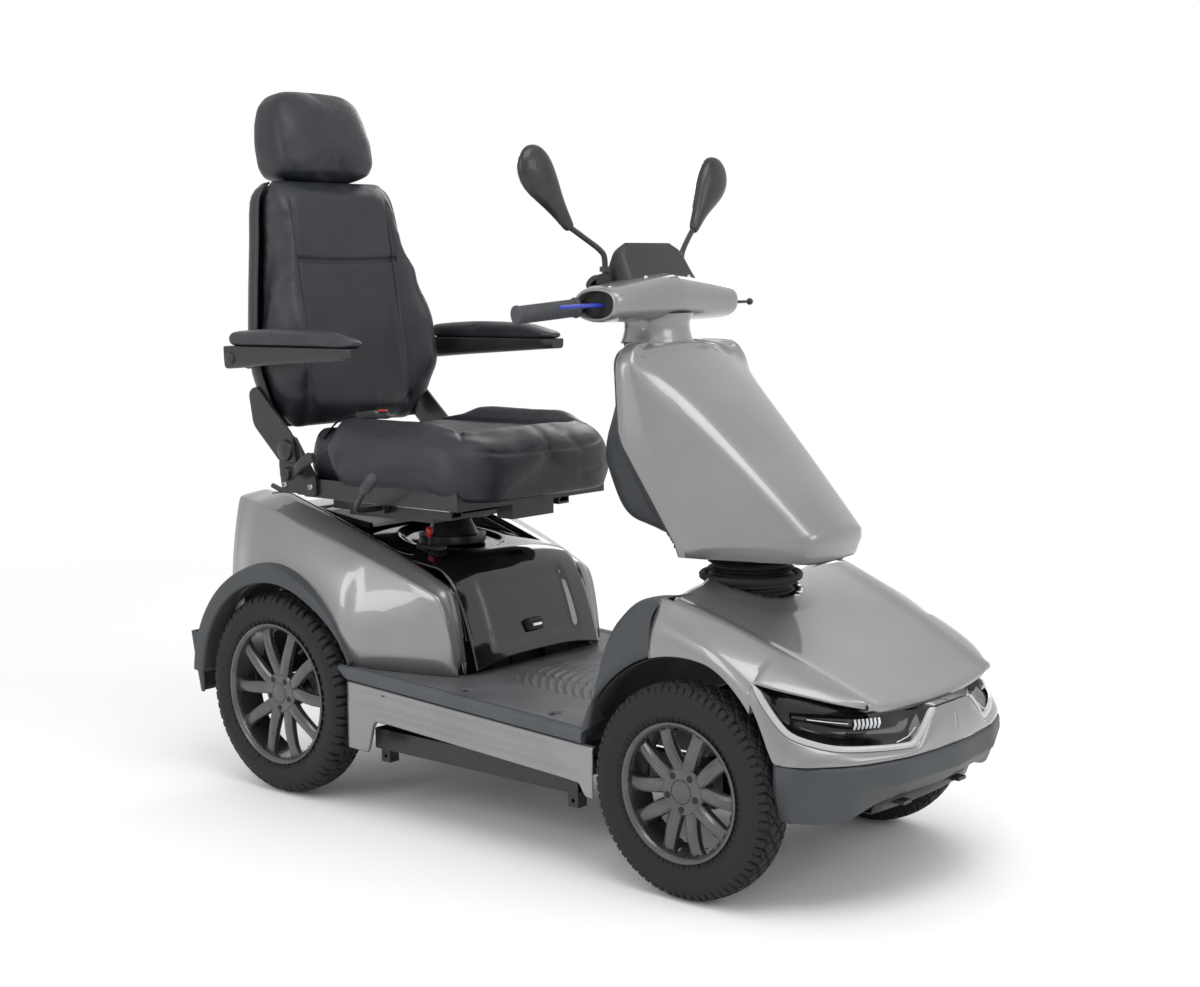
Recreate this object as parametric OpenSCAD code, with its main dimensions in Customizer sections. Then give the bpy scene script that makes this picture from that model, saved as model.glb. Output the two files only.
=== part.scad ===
// Four-wheel mobility scooter, millimetres.
// +Z up, front of the scooter towards -Y, rider's right towards -X, tyres stand on z = 0.

/* [Wheels] */
// wheelbase between front and rear axles
wheelbase = 1032; // [1000:1:1060]
// outer diameter of a front tyre
front_tyre_d = 370; // [366:1:374]
// section width of a front tyre
front_tyre_w = 76; // [70:1:80]
// distance of a front wheel's middle plane from the centre plane
front_track_half = 286; // [284:1:290]
// outer diameter of a rear tyre
rear_tyre_d = 410; // [406:1:414]
// section width of a rear tyre
rear_tyre_w = 84; // [78:1:88]
// distance of a rear wheel's middle plane from the centre plane
rear_track_half = 282; // [280:1:286]
// flange diameter of a front rim
front_rim_d = 240; // [236:1:244]
// flange diameter of a rear rim
rear_rim_d = 288; // [284:1:292]
// split spoke pairs on each rim
spoke_pairs = 5; // [5:1:6]

/* [Body] */
// height of the foot platform under the rider's heels
floor_z = 270; // [265:1:276]
// fall of the platform towards the front, per millimetre of length
floor_slope = 0.0484; // [0.03:0.0001:0.055]
// half width over the side skirts
body_half_w = 312; // [310:1:314]
// wheel arch radius, front and rear
arch_r = 226; // [222:1:230]
// thickness of the moulded body panels
skin = 4; // [3:0.5:5]

/* [Seat] */
// seat post and swivel axis, distance behind the middle of the wheelbase
seat_y = 320; // [310:1:330]
// width of the seat cushion
seat_w = 500; // [480:1:510]
// recline of the backrest from upright
recline = 7; // [5:1:8]

/* [Tiller] */
// steering axis, distance ahead of the middle of the wheelbase
steer_y = 437; // [434:1:440]
// height of the tiller tilt pivot
tilt_z = 508; // [506:1:512]
// length of one handlebar grip
grip_len = 118; // [110:1:122]

/* [Hidden] */
$fn = 48;
SILVER = [0.66, 0.66, 0.68];
DARK = [0.25, 0.26, 0.28];
BLACK = [0.06, 0.06, 0.07];
STEEL = [0.45, 0.46, 0.48];
LEATHER = [0.13, 0.14, 0.16];
front_y = -wheelbase / 2;
rear_y = wheelbase / 2;
front_z = front_tyre_d / 2;
rear_z = rear_tyre_d / 2;
kingpin_x = 225;
// inner face of the wheel disc, outwards from a wheel's middle plane
hub_face = 8;
// the overall box is centred on the origin by this shift
mid_shift = 36.6;
// stub axle and kingpin radius, and the radial running clearance of every pivot
stub_r = 10;
fit = 0.05;

// height of the mat's upper face at station y
function mat_z(y) = floor_z + floor_slope * y;
function lerp(a, b, t) = a + (b - a) * t;
function arch_z(y, yc, zc) = zc + sqrt(max(0, arch_r * arch_r - (y - yc) * (y - yc)));

// cylinder between two points
module rod(a, b, r) {
    v = b - a;
    l = norm(v);
    translate(a)
        rotate([0, acos(v.z / l), atan2(v.y, v.x)])
            cylinder(h = l, r = r);
}

// block between two corners
module block(a, b) {
    translate(a)
        cube(b - a);
}

// side profile of [y, z] points, extruded across from x0 to x1
module slab(pts, x0, x1) {
    translate([x0, 0, 0])
        rotate([90, 0, 90])
            linear_extrude(height = x1 - x0)
                polygon(pts);
}

// plan profile of [x, y] points, extruded up from z0 to z1
module plan(pts, z0, z1) {
    translate([0, 0, z0])
        linear_extrude(height = z1 - z0)
            polygon(pts);
}

// puts a piece drawn on the rider's right (-X) on side s
module on_side(s) {
    mirror([s > 0 ? 1 : 0, 0, 0])
        children();
}

// cylinder or ring along X
module xring(x0, x1, y, z, ro, ri = 0) {
    translate([x0, y, z])
        rotate([0, 90, 0])
            difference() {
                cylinder(h = x1 - x0, r = ro);
                if (ri > 0)
                    translate([0, 0, -1])
                        cylinder(h = x1 - x0 + 2, r = ri);
            }
}

// ring along Z
module zring(x, y, z0, z1, ro, ri = 0) {
    translate([x, y, z0])
        difference() {
            cylinder(h = z1 - z0, r = ro);
            if (ri > 0)
                translate([0, 0, -1])
                    cylinder(h = z1 - z0 + 2, r = ri);
        }
}

// closed skin between an outer grid P and an inner grid Q of the same size
module skin_between(P, Q) {
    nu = len(P);
    nv = len(P[0]);
    n = nu * nv;
    pts = concat([for (r = P) for (p = r) p], [for (r = Q) for (p = r) p]);
    outer = [for (i = [0:nu - 2]) for (j = [0:nv - 2]) for (k = [0, 1])
        k == 0 ? [i * nv + j, i * nv + j + 1, (i + 1) * nv + j + 1]
               : [i * nv + j, (i + 1) * nv + j + 1, (i + 1) * nv + j]];
    inner = [for (f = outer) [f[2] + n, f[1] + n, f[0] + n]];
    e1 = [for (j = [0:nv - 2]) for (k = [0, 1])
        k == 0 ? [j + 1, j, j + n] : [j + 1, j + n, j + 1 + n]];
    b = (nu - 1) * nv;
    e2 = [for (j = [0:nv - 2]) for (k = [0, 1])
        k == 0 ? [b + j, b + j + 1, b + j + n] : [b + j + 1, b + j + 1 + n, b + j + n]];
    e3 = [for (i = [0:nu - 2]) for (k = [0, 1])
        k == 0 ? [i * nv, (i + 1) * nv, i * nv + n] : [(i + 1) * nv, (i + 1) * nv + n, i * nv + n]];
    c = nv - 1;
    e4 = [for (i = [0:nu - 2]) for (k = [0, 1])
        k == 0 ? [(i + 1) * nv + c, i * nv + c, i * nv + c + n]
               : [(i + 1) * nv + c, i * nv + c + n, (i + 1) * nv + c + n]];
    polyhedron(points = pts, faces = concat(outer, inner, e1, e2, e3, e4), convexity = 6);
}

// ---------------------------------------------------------------- wheels
// every wheel piece is drawn about the X axis at the origin, outer face towards -X
module place_wheel(front, s) {
    translate([0, front ? front_y : rear_y, front ? front_z : rear_z])
        on_side(s)
            translate([-(front ? front_track_half : rear_track_half), 0, 0])
                children();
}

module tyre_shape(d, w, rim_d) {
    ro = d / 2;
    ri = rim_d / 2 - 9;
    h = w / 2;
    rotate([0, 90, 0])
        rotate_extrude($fn = 72)
            polygon([
                [ri, -h + 13], [ri + 14, -h + 6], [lerp(ri, ro, 0.55), -h], [ro - 17, -h + 3],
                [ro - 6, -h + 12], [ro, -h + 26], [ro, h - 26],
                [ro - 6, h - 12], [ro - 17, h - 3], [lerp(ri, ro, 0.55), h], [ri + 14, h - 6],
                [ri, h - 13]]);
}

// one half of a split spoke, flat plate between hub and barrel
module spoke(r0, r1, a0, a1, w0, w1) {
    p0 = [r0 * cos(a0), r0 * sin(a0)];
    p1 = [r1 * cos(a1), r1 * sin(a1)];
    d = (p1 - p0) / norm(p1 - p0);
    q = [-d.y, d.x];
    polygon([p0 + q * w0, p0 - q * w0, p1 - q * w1, p1 + q * w1]);
}

module rim_shape(w, rim_d, front) {
    ro = rim_d / 2;
    h = w / 2;
    face = -h + 22;
    back = hub_face + (front ? 26 : 0);
    rotate([0, 90, 0])
        difference() {
            union() {
                // barrel with both bead flanges
                rotate_extrude($fn = 72)
                    polygon([
                        [ro - 16, -h + 14], [ro - 10.5, -h + 14], [ro - 10.5, h - 14],
                        [ro - 16, h - 14], [ro - 16, h - 18], [ro - 14.5, h - 20],
                        [ro - 14.5, -h + 20], [ro - 16, -h + 18]]);
                rotate_extrude($fn = 72)
                    polygon([[ro - 16, -h + 6], [ro - 1, -h + 4], [ro - 1, -h + 5.8],
                        [ro - 10.5, -h + 13], [ro - 10.5, -h + 16], [ro - 16, -h + 16]]);
                // hub disc and boss
                translate([0, 0, face])
                    cylinder(h = 12, r = 38);
                translate([0, 0, face])
                    cylinder(h = back - face, r = front ? 24 : 33);
                translate([0, 0, face + 1])
                    linear_extrude(height = 9)
                        for (i = [0:spoke_pairs - 1])
                            for (k = [-1, 1])
                                spoke(30, ro - 12, i * 360 / spoke_pairs + k * 15,
                                    i * 360 / spoke_pairs + k * 22, 9, 6);
            }
            // wheel bore
            translate([0, 0, face - 1])
                cylinder(h = back - face + 2, r = front ? stub_r + fit : 20);
            // bolt holes
            for (i = [0:4])
                rotate([0, 0, i * 72 + 36])
                    translate([front ? 29 : 27, 0, face - 1])
                        cylinder(h = front ? 9 : hub_face - face + 2, r = 3.4);
        }
}

module tyre(front, s) {
    color(BLACK)
        place_wheel(front, s)
            tyre_shape(front ? front_tyre_d : rear_tyre_d, front ? front_tyre_w : rear_tyre_w,
                front ? front_rim_d : rear_rim_d);
}

module rim(front, s) {
    color(DARK)
        place_wheel(front, s)
            rim_shape(front ? front_tyre_w : rear_tyre_w, front ? front_rim_d : rear_rim_d, front);
}

// splined half shaft with the flange and five bolts that carry a rear rim
module half_shaft(s) {
    face = -rear_tyre_w / 2 + 22;
    color(STEEL)
        place_wheel(false, s)
            union() {
                xring(hub_face, hub_face + 8, 0, 0, 34);
                xring(hub_face + 8, hub_face + 34, 0, 0, 20);
                xring(hub_face + 34, rear_track_half - 48, 0, 0, 14);
                for (i = [0:4])
                    rotate([i * 72 + 36, 0, 0])
                        translate([0, 0, -27]) {
                            xring(face - 5, face, 0, 0, 5.2);
                            xring(face, hub_face + 1, 0, 0, 3);
                        }
            }
}

// ---------------------------------------------------------------- front steering gear
module axle_beam() {
    union() {
        difference() {
            union() {
                block([-190, front_y - 22, front_z - 14], [190, front_y + 22, front_z + 14]);
                for (k = [-1, 1])
                    for (z = [-1, 1])
                        block([k * 212 - 27, front_y - 19, front_z + z * 36 - 7],
                            [k * 212 + 27, front_y + 19, front_z + z * 36 + 7]);
                for (k = [-1, 1])
                    block([k * 187 - 8, front_y - 19, front_z - 43],
                        [k * 187 + 8, front_y + 19, front_z + 43]);
            }
            for (k = [-1, 1])
                zring(k * kingpin_x, front_y, front_z - 60, front_z + 60, stub_r + fit);
        }
    }
}

// steering knuckle: forged block with kingpin, stub axle, nut and steering arm
module knuckle(s) {
    color(BLACK)
        on_side(s)
            union() {
                block([-kingpin_x - 15, front_y - 15, front_z - 27],
                    [-kingpin_x + 13, front_y + 15, front_z + 27]);
                block([-kingpin_x - 8, front_y + 14, front_z - 27],
                    [-kingpin_x + 8, front_y + 84, front_z - 17]);
                zring(-kingpin_x, front_y, front_z - 46, front_z + 46, stub_r);
                zring(-kingpin_x, front_y, front_z + 46, front_z + 51, 13);
                xring(-front_track_half + front_tyre_w / 2 - 52, -kingpin_x - 15,
                    front_y, front_z, stub_r);
            }
}

arm_y = front_y + 76;
link_z = 112;
pitman = 65;
module tie_rod() {
    color(STEEL)
        difference() {
            union() {
                rod([-kingpin_x, arm_y, link_z], [kingpin_x, arm_y, link_z], 7);
                for (k = [-1, 1])
                    zring(k * kingpin_x, arm_y, link_z - 9, front_z - 29, 9);
                block([-18, arm_y, link_z - 4], [18, -steer_y + pitman + 16, link_z + 4]);
            }
            block([-6.5, -steer_y + pitman - 18, link_z - 5], [6.5, -steer_y + pitman + 8, link_z + 5]);
        }
}

module steering_tube() {
    zring(0, -steer_y, 184, 440, 28, 16 + fit);
    difference() {
        block([-100, -steer_y - 40, 175], [100, -steer_y + 40, 184]);
        zring(0, -steer_y, 174, 185, 17);
    }
}

// steering shaft with its pitman arm, the fork at the top and the tilt pin
module steering_shaft() {
    color(STEEL)
        union() {
            zring(0, -steer_y, 124, 474, 16);
            block([-12, -steer_y - 18, 122], [12, -steer_y + pitman + 11, 132]);
            zring(0, -steer_y + pitman, link_z - 7, 123, 5);
            zring(0, -steer_y, 470, 478, 44);
            for (k = [-1, 1])
                block([k * 36 - 4, -steer_y - 24, 476], [k * 36 + 4, -steer_y + 24, tilt_z + 18]);
            xring(-44, 44, -steer_y, tilt_z, 8);
        }
}

module bellows() {
    turns = 5;
    step = 12;
    color(BLACK)
        translate([0, -steer_y, 482])
            rotate_extrude($fn = 64)
                polygon(concat(
                    [[60, 0], [80, 0]],
                    [for (i = [0:turns - 1]) for (q = [0, 1])
                        [q == 0 ? 68 : 80, (i + (q == 0 ? 0.45 : 0.9)) * step]],
                    [[60, turns * step * 0.98]]));
}

// ---------------------------------------------------------------- frame
module frame_rail(s) {
        on_side(s)
            difference() {
                block([-102, -700, 126], [-78, 660, 176]);
                block([-99, -701, 129], [-81, 661, 173]);
            }
}

module cross_member(y) {
        difference() {
            block([-78, y - 15, 131], [78, y + 15, 171]);
            block([-79, y - 12, 134], [79, y + 12, 168]);
        }
}

module side_rail(s) {
        on_side(s)
            difference() {
                block([-255, -240, 118], [-215, 290, 158]);
                block([-252, -241, 121], [-218, 291, 155]);
            }
}

module rail_foot(y, s) {
        on_side(s)
            difference() {
                block([-247, y - 12, 90], [-223, y + 12, 118]);
                translate([-260, y, 102])
                    rotate([0, 90, 0])
                        cylinder(h = 50, r = 4);
            }
}

module outrigger(y, s) {
        on_side(s)
            block([-215, y - 13, 124], [-102, y + 13, 152]);
}

module floor_beam(y) {
        slab([[y - 15, 176], [y + 15, 176],
            [y + 15, mat_z(y + 15) - 16], [y - 15, mat_z(y - 15) - 16]], -278, 278);
}

module floor_plate() {
        slab([[-286, mat_z(-286) - 16], [108, mat_z(108) - 16],
            [108, mat_z(108) - 11], [-286, mat_z(-286) - 11]], -298, 298);
}

module floor_mat() {
    color(DARK)
        difference() {
            union() {
                // edges turned down over the side skirts
                for (k = [-1, 1])
                    on_side(k)
                        slab([[-300, mat_z(-300) - 24], [304, mat_z(304) - 24],
                            [308, mat_z(308)], [-300, mat_z(-300)]], -body_half_w - 1, -299);
                intersection() {
                    slab([[-292, mat_z(-292) - 10.6], [330, mat_z(330) - 10.6],
                        [330, mat_z(330)], [-292, mat_z(-292)]], -300, 300);
                    plan([[-300, -292], [300, -292], [300, 296], [184, 100], [-184, 100],
                        [-300, 296]], 200, 320);
                }
                // raised ribs, bowed towards the front
                intersection() {
                    slab([[-260, mat_z(-260) - 5], [60, mat_z(60) - 5],
                        [60, mat_z(60) + 2], [-260, mat_z(-260) + 2]], -150, 150);
                    for (k = [0:5])
                        translate([0, 480 - k * 44, 200])
                            difference() {
                                cylinder(h = 100, r = 520, $fn = 96);
                                translate([0, 0, -1])
                                    cylinder(h = 102, r = 512, $fn = 96);
                            }
                }
            }
            for (k = [-1, 1])
                for (y = [-190, 30])
                    zring(k * 262, y, mat_z(y) - 4, mat_z(y) + 8, 12);
        }
}

// one side skirt
module skirt(s) {
    on_side(s)
        slab([[-300, mat_z(-300) - 24.2], [304, mat_z(304) - 24.2],
                [300, 190], [302, 124], [262, 130], [232, 160], [120, 176], [25, 181],
                [-200, 170], [-262, 164], [-284, 152], [-316, 154], [-303, 200]],
                -body_half_w, -body_half_w + 10);
}

// welded frame with axle beam, steering tube, battery tray and seat support
module frame() {
    color(BLACK)
        union() {
            for (s = [-1, 1]) {
                frame_rail(s);
                side_rail(s);
                bumper_bracket(s);
                axle_clamp(s);
                for (y = [-222, 270])
                    rail_foot(y, s);
                for (y = [-180, 240])
                    outrigger(y, s);
                for (y = [146, 436])
                    seat_leg(s * 90, y);
            }
            for (y = [-640, -100, 120, 590])
                cross_member(y);
            for (y = [-220, 60])
                floor_beam(y);
            floor_plate();
            axle_beam();
            steering_tube();
            battery_tray();
            seat_deck();
        }
}

// ---------------------------------------------------------------- rear drive
module transaxle() {
    color(STEEL)
        difference() {
            union() {
                xring(-44, 44, rear_y, rear_z, 64);
                block([-40, rear_y + 30, rear_z - 32], [40, rear_y + 96, rear_z + 44]);
                xring(-232, 232, rear_y, rear_z, 28);
                for (k = [-1, 1])
                    xring(k * 50 - 8, k * 50 + 8, rear_y, rear_z, 44);
            }
            xring(-233, 233, rear_y, rear_z, 14 + fit);
        }
}

// drive motor with the parking brake on its far end
module motor() {
    color(BLACK)
        translate([0, rear_y + 96, rear_z])
            rotate([-90, 0, 0])
                union() {
                    cylinder(h = 6, r = 56);
                    cylinder(h = 80, r = 50);
                    translate([0, 0, 79])
                        cylinder(h = 22, r = 40);
                }
}

module axle_clamp(s) {
        on_side(s)
            difference() {
                block([-104, rear_y - 38, 176], [-76, rear_y + 38, rear_z + 38]);
                xring(-105, -75, rear_y, rear_z, 28.1);
            }
}

module batteries() {
    color([0.2, 0.2, 0.22])
        for (s = [-1, 1])
            on_side(s)
                union() {
                    block([-174, 160, 182.4], [-4, 420, 384]);
                    block([-170, 164, 384], [-8, 416, 392]);
                    for (y = [186, 394])
                        zring(-40, y, 391, 400, 9);
                }
}

module battery_tray() {
        difference() {
            block([-178, 156, 175], [178, 424, 206]);
            block([-175, 159, 182], [175, 421, 207]);
        }
}

// hinged hand lever that lifts the park brake, with its quadrant

// ---------------------------------------------------------------- seat support
module seat_leg(x, y) {
        difference() {
            block([x - 12, y - 8, 176], [x + 12, y + 8, 412]);
            block([x - 9, y - 5, 175], [x + 9, y + 5, 413]);
        }
}

module seat_deck() {
    difference() {
        block([-120, 138, 412], [120, 446, 420]);
        zring(0, seat_y, 411, 421, 26.1);
    }
    // bracket and pin of the freewheel lever
    block([-104, 262, 420], [-98, 288, 474]);
    xring(-116, -100, 275, 462, 5);
}

// fixed post tube with gussets, the pierced collar and the boot cone
module seat_post() {
    color(BLACK)
        difference() {
            union() {
                translate([0, seat_y, 0])
                    rotate_extrude()
                        polygon([[17 + fit, 406], [26, 406], [26, 498], [69, 498], [69, 514],
                            [54, 514], [36, 549], [17 + fit, 549]]);
                for (k = [-1, 1]) {
                    translate([0, seat_y + 3, 420])
                        rotate([90, 0, 0])
                            linear_extrude(height = 6)
                                polygon([[k * 22, 0], [k * 66, 0], [k * 22, 42]]);
                    slab([[seat_y + k * 22, 420], [seat_y + k * 66, 420], [seat_y + k * 22, 462]], -3, 3);
                }
            }
            for (i = [0:17])
                rotate_about_seat(i * 20)
                    translate([0, -61, 497])
                        cylinder(h = 20, r = 4.5);
        }
}

// turns a piece about the seat post
module rotate_about_seat(a) {
    translate([0, seat_y, 0])
        rotate([0, 0, a])
            children();
}

// turning spindle and plate with the two channels the seat slides in
module seat_swivel() {
    color(STEEL)
        union() {
            zring(0, seat_y, 430, 560, 17);
            zring(0, seat_y, 552, 568, 80);
            block([-172, 200, 562], [172, 440, 572]);
            for (k = [-1, 1]) {
                block([k * 156 - 16, 150, 571], [k * 156 + 16, 490, 576]);
                for (x = [-16, 13])
                    block([k * 156 + x, 150, 575], [k * 156 + x + 3, 490, 588]);
            }
        }
}

// seat pan with its runners, recliner plates, lever stud and front box
module seat_frame() {
    color(BLACK)
        difference() {
            union() {
                difference() {
                    block([-214, 90, 596], [214, 530, 634]);
                    block([-210, 94, 600], [210, 526, 635]);
                }
                for (k = [-1, 1]) {
                    block([k * 156 - 6, 162, 577], [k * 156 + 6, 478, 598]);
                    slab([[490, 600], [540, 600], [590, 624], [596, 660], [586, 716], [548, 716],
                        [490, 640]],
                        k * 218 - 4, k * 218 + 4);
                }
                xring(-242, -218, lever_y, lever_z, 6);
                block([-60, 92, 566], [60, 134, 598]);
                // pivot block of the slide lever
                block([-190, 318, 574], [-176, 342, 598]);
            }
            xring(-223, 223, back_c.y, back_c.z, 9 + fit);
            xring(-191, -175, 330, 584, 5 + fit);
        }
}

// ---------------------------------------------------------------- seat
module seat_cushion() {
    w = seat_w / 2;
    color(LEATHER)
        union() {
            hull()
                for (k = [-1, 1]) {
                    translate([k * (w - 92), 84, 696])
                        sphere(r = 58, $fn = 24);
                    translate([k * (w - 62), 120, 696])
                        sphere(r = 58, $fn = 24);
                    translate([k * (w - 82), 500, 690])
                        sphere(r = 42, $fn = 24);
                    translate([k * (w - 82), 500, 668])
                        sphere(r = 32, $fn = 24);
                    translate([k * (w - 66), 84, 668])
                        sphere(r = 32, $fn = 24);
                }
            for (k = [-1, 1])
                hull() {
                    translate([k * (w - 46), 160, 730])
                        sphere(r = 40, $fn = 24);
                    translate([k * (w - 44), 470, 732])
                        sphere(r = 42, $fn = 24);
                    translate([k * (w - 60), 460, 690])
                        sphere(r = 36, $fn = 24);
                    translate([k * (w - 60), 160, 690])
                        sphere(r = 36, $fn = 24);
                }
        }
}

// backrest pieces are drawn upright from the recliner axis and leaned back together
back_c = [0, 566, 690];
lever_y = back_c.y - 30;
lever_z = back_c.z - 44;
module leaned() {
    translate(back_c)
        rotate([-recline, 0, 0])
            children();
}

module backrest_cushion() {
    color(LEATHER)
        leaned()
            union() {
                hull() {
                    for (k = [-1, 1]) {
                        translate([k * 140, 30, 530])
                            sphere(r = 34, $fn = 24);
                        translate([k * 165, 30, 250])
                            sphere(r = 34, $fn = 24);
                        translate([k * 150, 30, 60])
                            sphere(r = 34, $fn = 24);
                    }
                }
                for (k = [-1, 1])
                    hull() {
                        translate([k * 152, 40, 526])
                            sphere(r = 36, $fn = 24);
                        translate([k * 204, 26, 230])
                            sphere(r = 40, $fn = 24);
                        translate([k * 200, -12, 196])
                            sphere(r = 36, $fn = 24);
                        translate([k * 178, 20, 76])
                            sphere(r = 36, $fn = 24);
                    }
            }
}

// backrest shell with recliner arms, armrest pivots and the headrest sockets
module backrest_shell() {
    color(BLACK)
        difference() {
            union() {
                leaned()
                    hull() {
                        for (k = [-1, 1]) {
                            translate([k * 150, 92, 520])
                                rotate([90, 0, 0])
                                    cylinder(h = 14, r = 34, $fn = 32);
                            translate([k * 214, 92, 240])
                                rotate([90, 0, 0])
                                    cylinder(h = 14, r = 34, $fn = 32);
                            translate([k * 190, 92, 70])
                                rotate([90, 0, 0])
                                    cylinder(h = 14, r = 34, $fn = 32);
                        }
                        translate([-130, 96, 80])
                            cube([260, 14, 420]);
                    }
                for (k = [-1, 1]) {
                    leaned()
                        slab([[-24, -24], [24, -24], [92, 66], [92, 130], [76, 130], [-24, 24]],
                            k * 226 - 3.5, k * 226 + 3.5);
                    xring(k * 222 - 12, k * 222 + 12, back_c.y, back_c.z, 9);
                    block([k * 251 - 4, arm_pivot.y - 20, arm_pivot.z - 28],
                        [k * 251 + 4, 700, arm_pivot.z + 24]);
                    block([k * 240 - 15, 684, arm_pivot.z - 28],
                        [k * 240 + 15, 700, arm_pivot.z + 24]);
                    xring(k * 284 - 33, k * 284 + 33, arm_pivot.y, arm_pivot.z, 8);
                }
            }
            leaned()
                for (k = [-1, 1])
                    translate([k * 70, 94, 380])
                        cylinder(h = 300, r = 6 + fit);
        }
}

// headrest pad on its two posts
module headrest() {
    color(LEATHER)
        leaned()
            union() {
                hull()
                    for (k = [-1, 1]) {
                        translate([k * 98, 52, 616])
                            sphere(r = 40, $fn = 24);
                        translate([k * 98, 98, 616])
                            sphere(r = 40, $fn = 24);
                        translate([k * 90, 60, 718])
                            sphere(r = 44, $fn = 24);
                        translate([k * 90, 92, 718])
                            sphere(r = 44, $fn = 24);
                    }
                for (k = [-1, 1])
                    translate([k * 70, 94, 470])
                        cylinder(h = 150, r = 6);
            }
}

module recline_lever() {
    color(BLACK)
        difference() {
            union() {
                xring(-264, -224, lever_y, lever_z, 13);
                slab([[lever_y - 14, lever_z - 12], [lever_y + 12, lever_z - 4],
                    [lever_y - 60, lever_z + 36], [lever_y - 92, lever_z + 46],
                    [lever_y - 96, lever_z + 30]], -264, -254);
            }
            xring(-243, -223, lever_y, lever_z, 6 + fit);
        }
}

arm_pivot = [0, 632, 880];
module armrest(s) {
    color(BLACK)
        on_side(s)
            difference() {
                union() {
                    slab([[648, 856], [652, 896], [640, 904], [286, 904], [274, 893], [286, 882],
                        [540, 866]], -312, -258);
                    hull() {
                        for (k = [-1, 1])
                            for (y = [292, 630])
                                translate([-285 + k * 13, y, 921])
                                    sphere(r = 14, $fn = 24);
                        for (y = [284, 638])
                            block([-311, y - 8, 903], [-259, y + 8, 910]);
                    }
                }
                xring(-320, -240, arm_pivot.y, arm_pivot.z, 8 + fit);
            }
}

module belt_buckle() {
    color(BLACK)
        translate([-139, 400, 756])
            rotate([0, 0, 30])
                difference() {
                    block([-14, -34, 0], [14, 34, 16]);
                    block([-10.4, -30, 5], [10.4, -12, 17]);
                }
}

module belt_button() {
    color([0.8, 0.1, 0.1])
        translate([-139, 400, 756])
            rotate([0, 0, 30])
                block([-10, -29.6, 8], [10, -12.4, 17]);
}

module slide_lever() {
    color(DARK)
        union() {
            xring(-204, -176, 330, 584, 5);
            rod([-202, 330, 584], [-270, 318, 594], 5);
            rod([-270, 318, 594], [-286, 262, 640], 6);
            rod([-284.6, 267, 636], [-298, 228, 662], 11);
        }
}

// ---------------------------------------------------------------- rear body
// crease line of a rear fender, its outline in plan and the shroud line at station y
function crease_z(y) = 425 + 154 * pow(max(0, (y - 136) / 464), 0.85);
function crease_x(y) = -lerp(212, 272, pow(max(0, min(1, (y - 104) / 490)), 0.6));
function fender_x(y) = -lerp(206, 308, pow(max(0, min(1, (y - 104) / 226)), 0.85));
function fender_low(y) = max(mat_z(y) + 0.4, arch_z(y, rear_y, rear_z));
function front_drop(y) = y < 144 ? pow((144 - y) / 40, 2) * 136 : 0;

function fender_row(y, d) =
    let (zc = crease_z(y) - front_drop(y), zl = min(fender_low(y), zc - 8),
        xo = fender_x(y), xc = crease_x(y))
    [[-184 - d, y + d * 0.3, max(zl + 1, zc - 60)],
     [-184 - d, y + d * 0.3, zc + 14 - d],
     [-200, y + d * 0.5, zc + 13 - d],
     [xc + d * 0.6, y + d * 0.4, zc - d * 0.8],
     [lerp(xc, xo, 0.72) + d, y, lerp(zc, zl, 0.5) - d * 0.3],
     [xo + d, y, zl]];

module rear_fender(s) {
    n = 24;
    ys = [for (i = [0:n]) lerp(104, 682, pow(i / n, 1.25))];
    color(SILVER)
        on_side(s)
            skin_between([for (y = ys) fender_row(y, 0)], [for (y = ys) fender_row(y, skin)]);
}

// wheel flare with the arch liner behind it and the mud flap
module rear_flare(s) {
    color(DARK)
        on_side(s)
            union() {
                intersection() {
                    difference() {
                        xring(-328, -308.4, rear_y + 2, rear_z, 268);
                        xring(-329, -308, rear_y, rear_z, arch_r - 2);
                        xring(-324, -308, rear_y, rear_z, 262);
                    }
                    slab([[296, mat_z(300) + 1], [300, 430], [420, 560], [900, 560], [900, 172],
                        [640, 172], [600, mat_z(300) + 1]], -330, -300);
                }
                intersection() {
                    difference() {
                        xring(-328, -186, rear_y, rear_z, arch_r + 3.8);
                        xring(-329, -185, rear_y, rear_z, arch_r + 0.5);
                    }
                    slab([[200, mat_z(300) + 1], [200, 500], [900, 500], [900, 300]], -330, -180);
                    union() {
                        block([-330, 200, 200], [-308.4, 900, 500]);
                        block([-293, 200, 200], [-187, 676, 500]);
                    }
                }
                slab([[754, 172], [762, 172], [774, 300], [766, 300]], -327, -214);
            }
}

// hand lever that releases the parking brake, turning on a pin under the shroud's slot
module freewheel_lever() {
    color([0.7, 0.08, 0.06])
        difference() {
            union() {
                xring(-114, -105, 275, 462, 10);
                block([-113, 270, 462], [-106, 280, 532]);
                translate([-109.5, 275, 534])
                    sphere(r = 9, $fn = 32);
            }
            xring(-115, -104, 275, 462, 5 + fit);
        }
}

// ---- shroud and tail
function shroud_z(y) = y < 200 ? 494 - 200 * pow((200 - y) / 124, 2.4) : lerp(494, 556, (y - 200) / 490);
function shroud_row(y, d) =
    [for (j = [0:10])
        let (x = lerp(-180 + d, 180 - d, j / 10))
        [x, y, shroud_z(y) - d - 16 * pow(abs(x) / 180, 3)]];

module rear_shroud() {
    n = 20;
    ys = [for (i = [0:n]) lerp(78, 682, pow(i / n, 1.5))];
    color(BLACK)
        difference() {
            skin_between([for (y = ys) shroud_row(y, skin)], [for (y = ys) shroud_row(y, 0)]);
            zring(0, seat_y, 400, 600, 70.5);
            block([-121, 222, 440], [-98, 300, 600]);
        }
}

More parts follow.
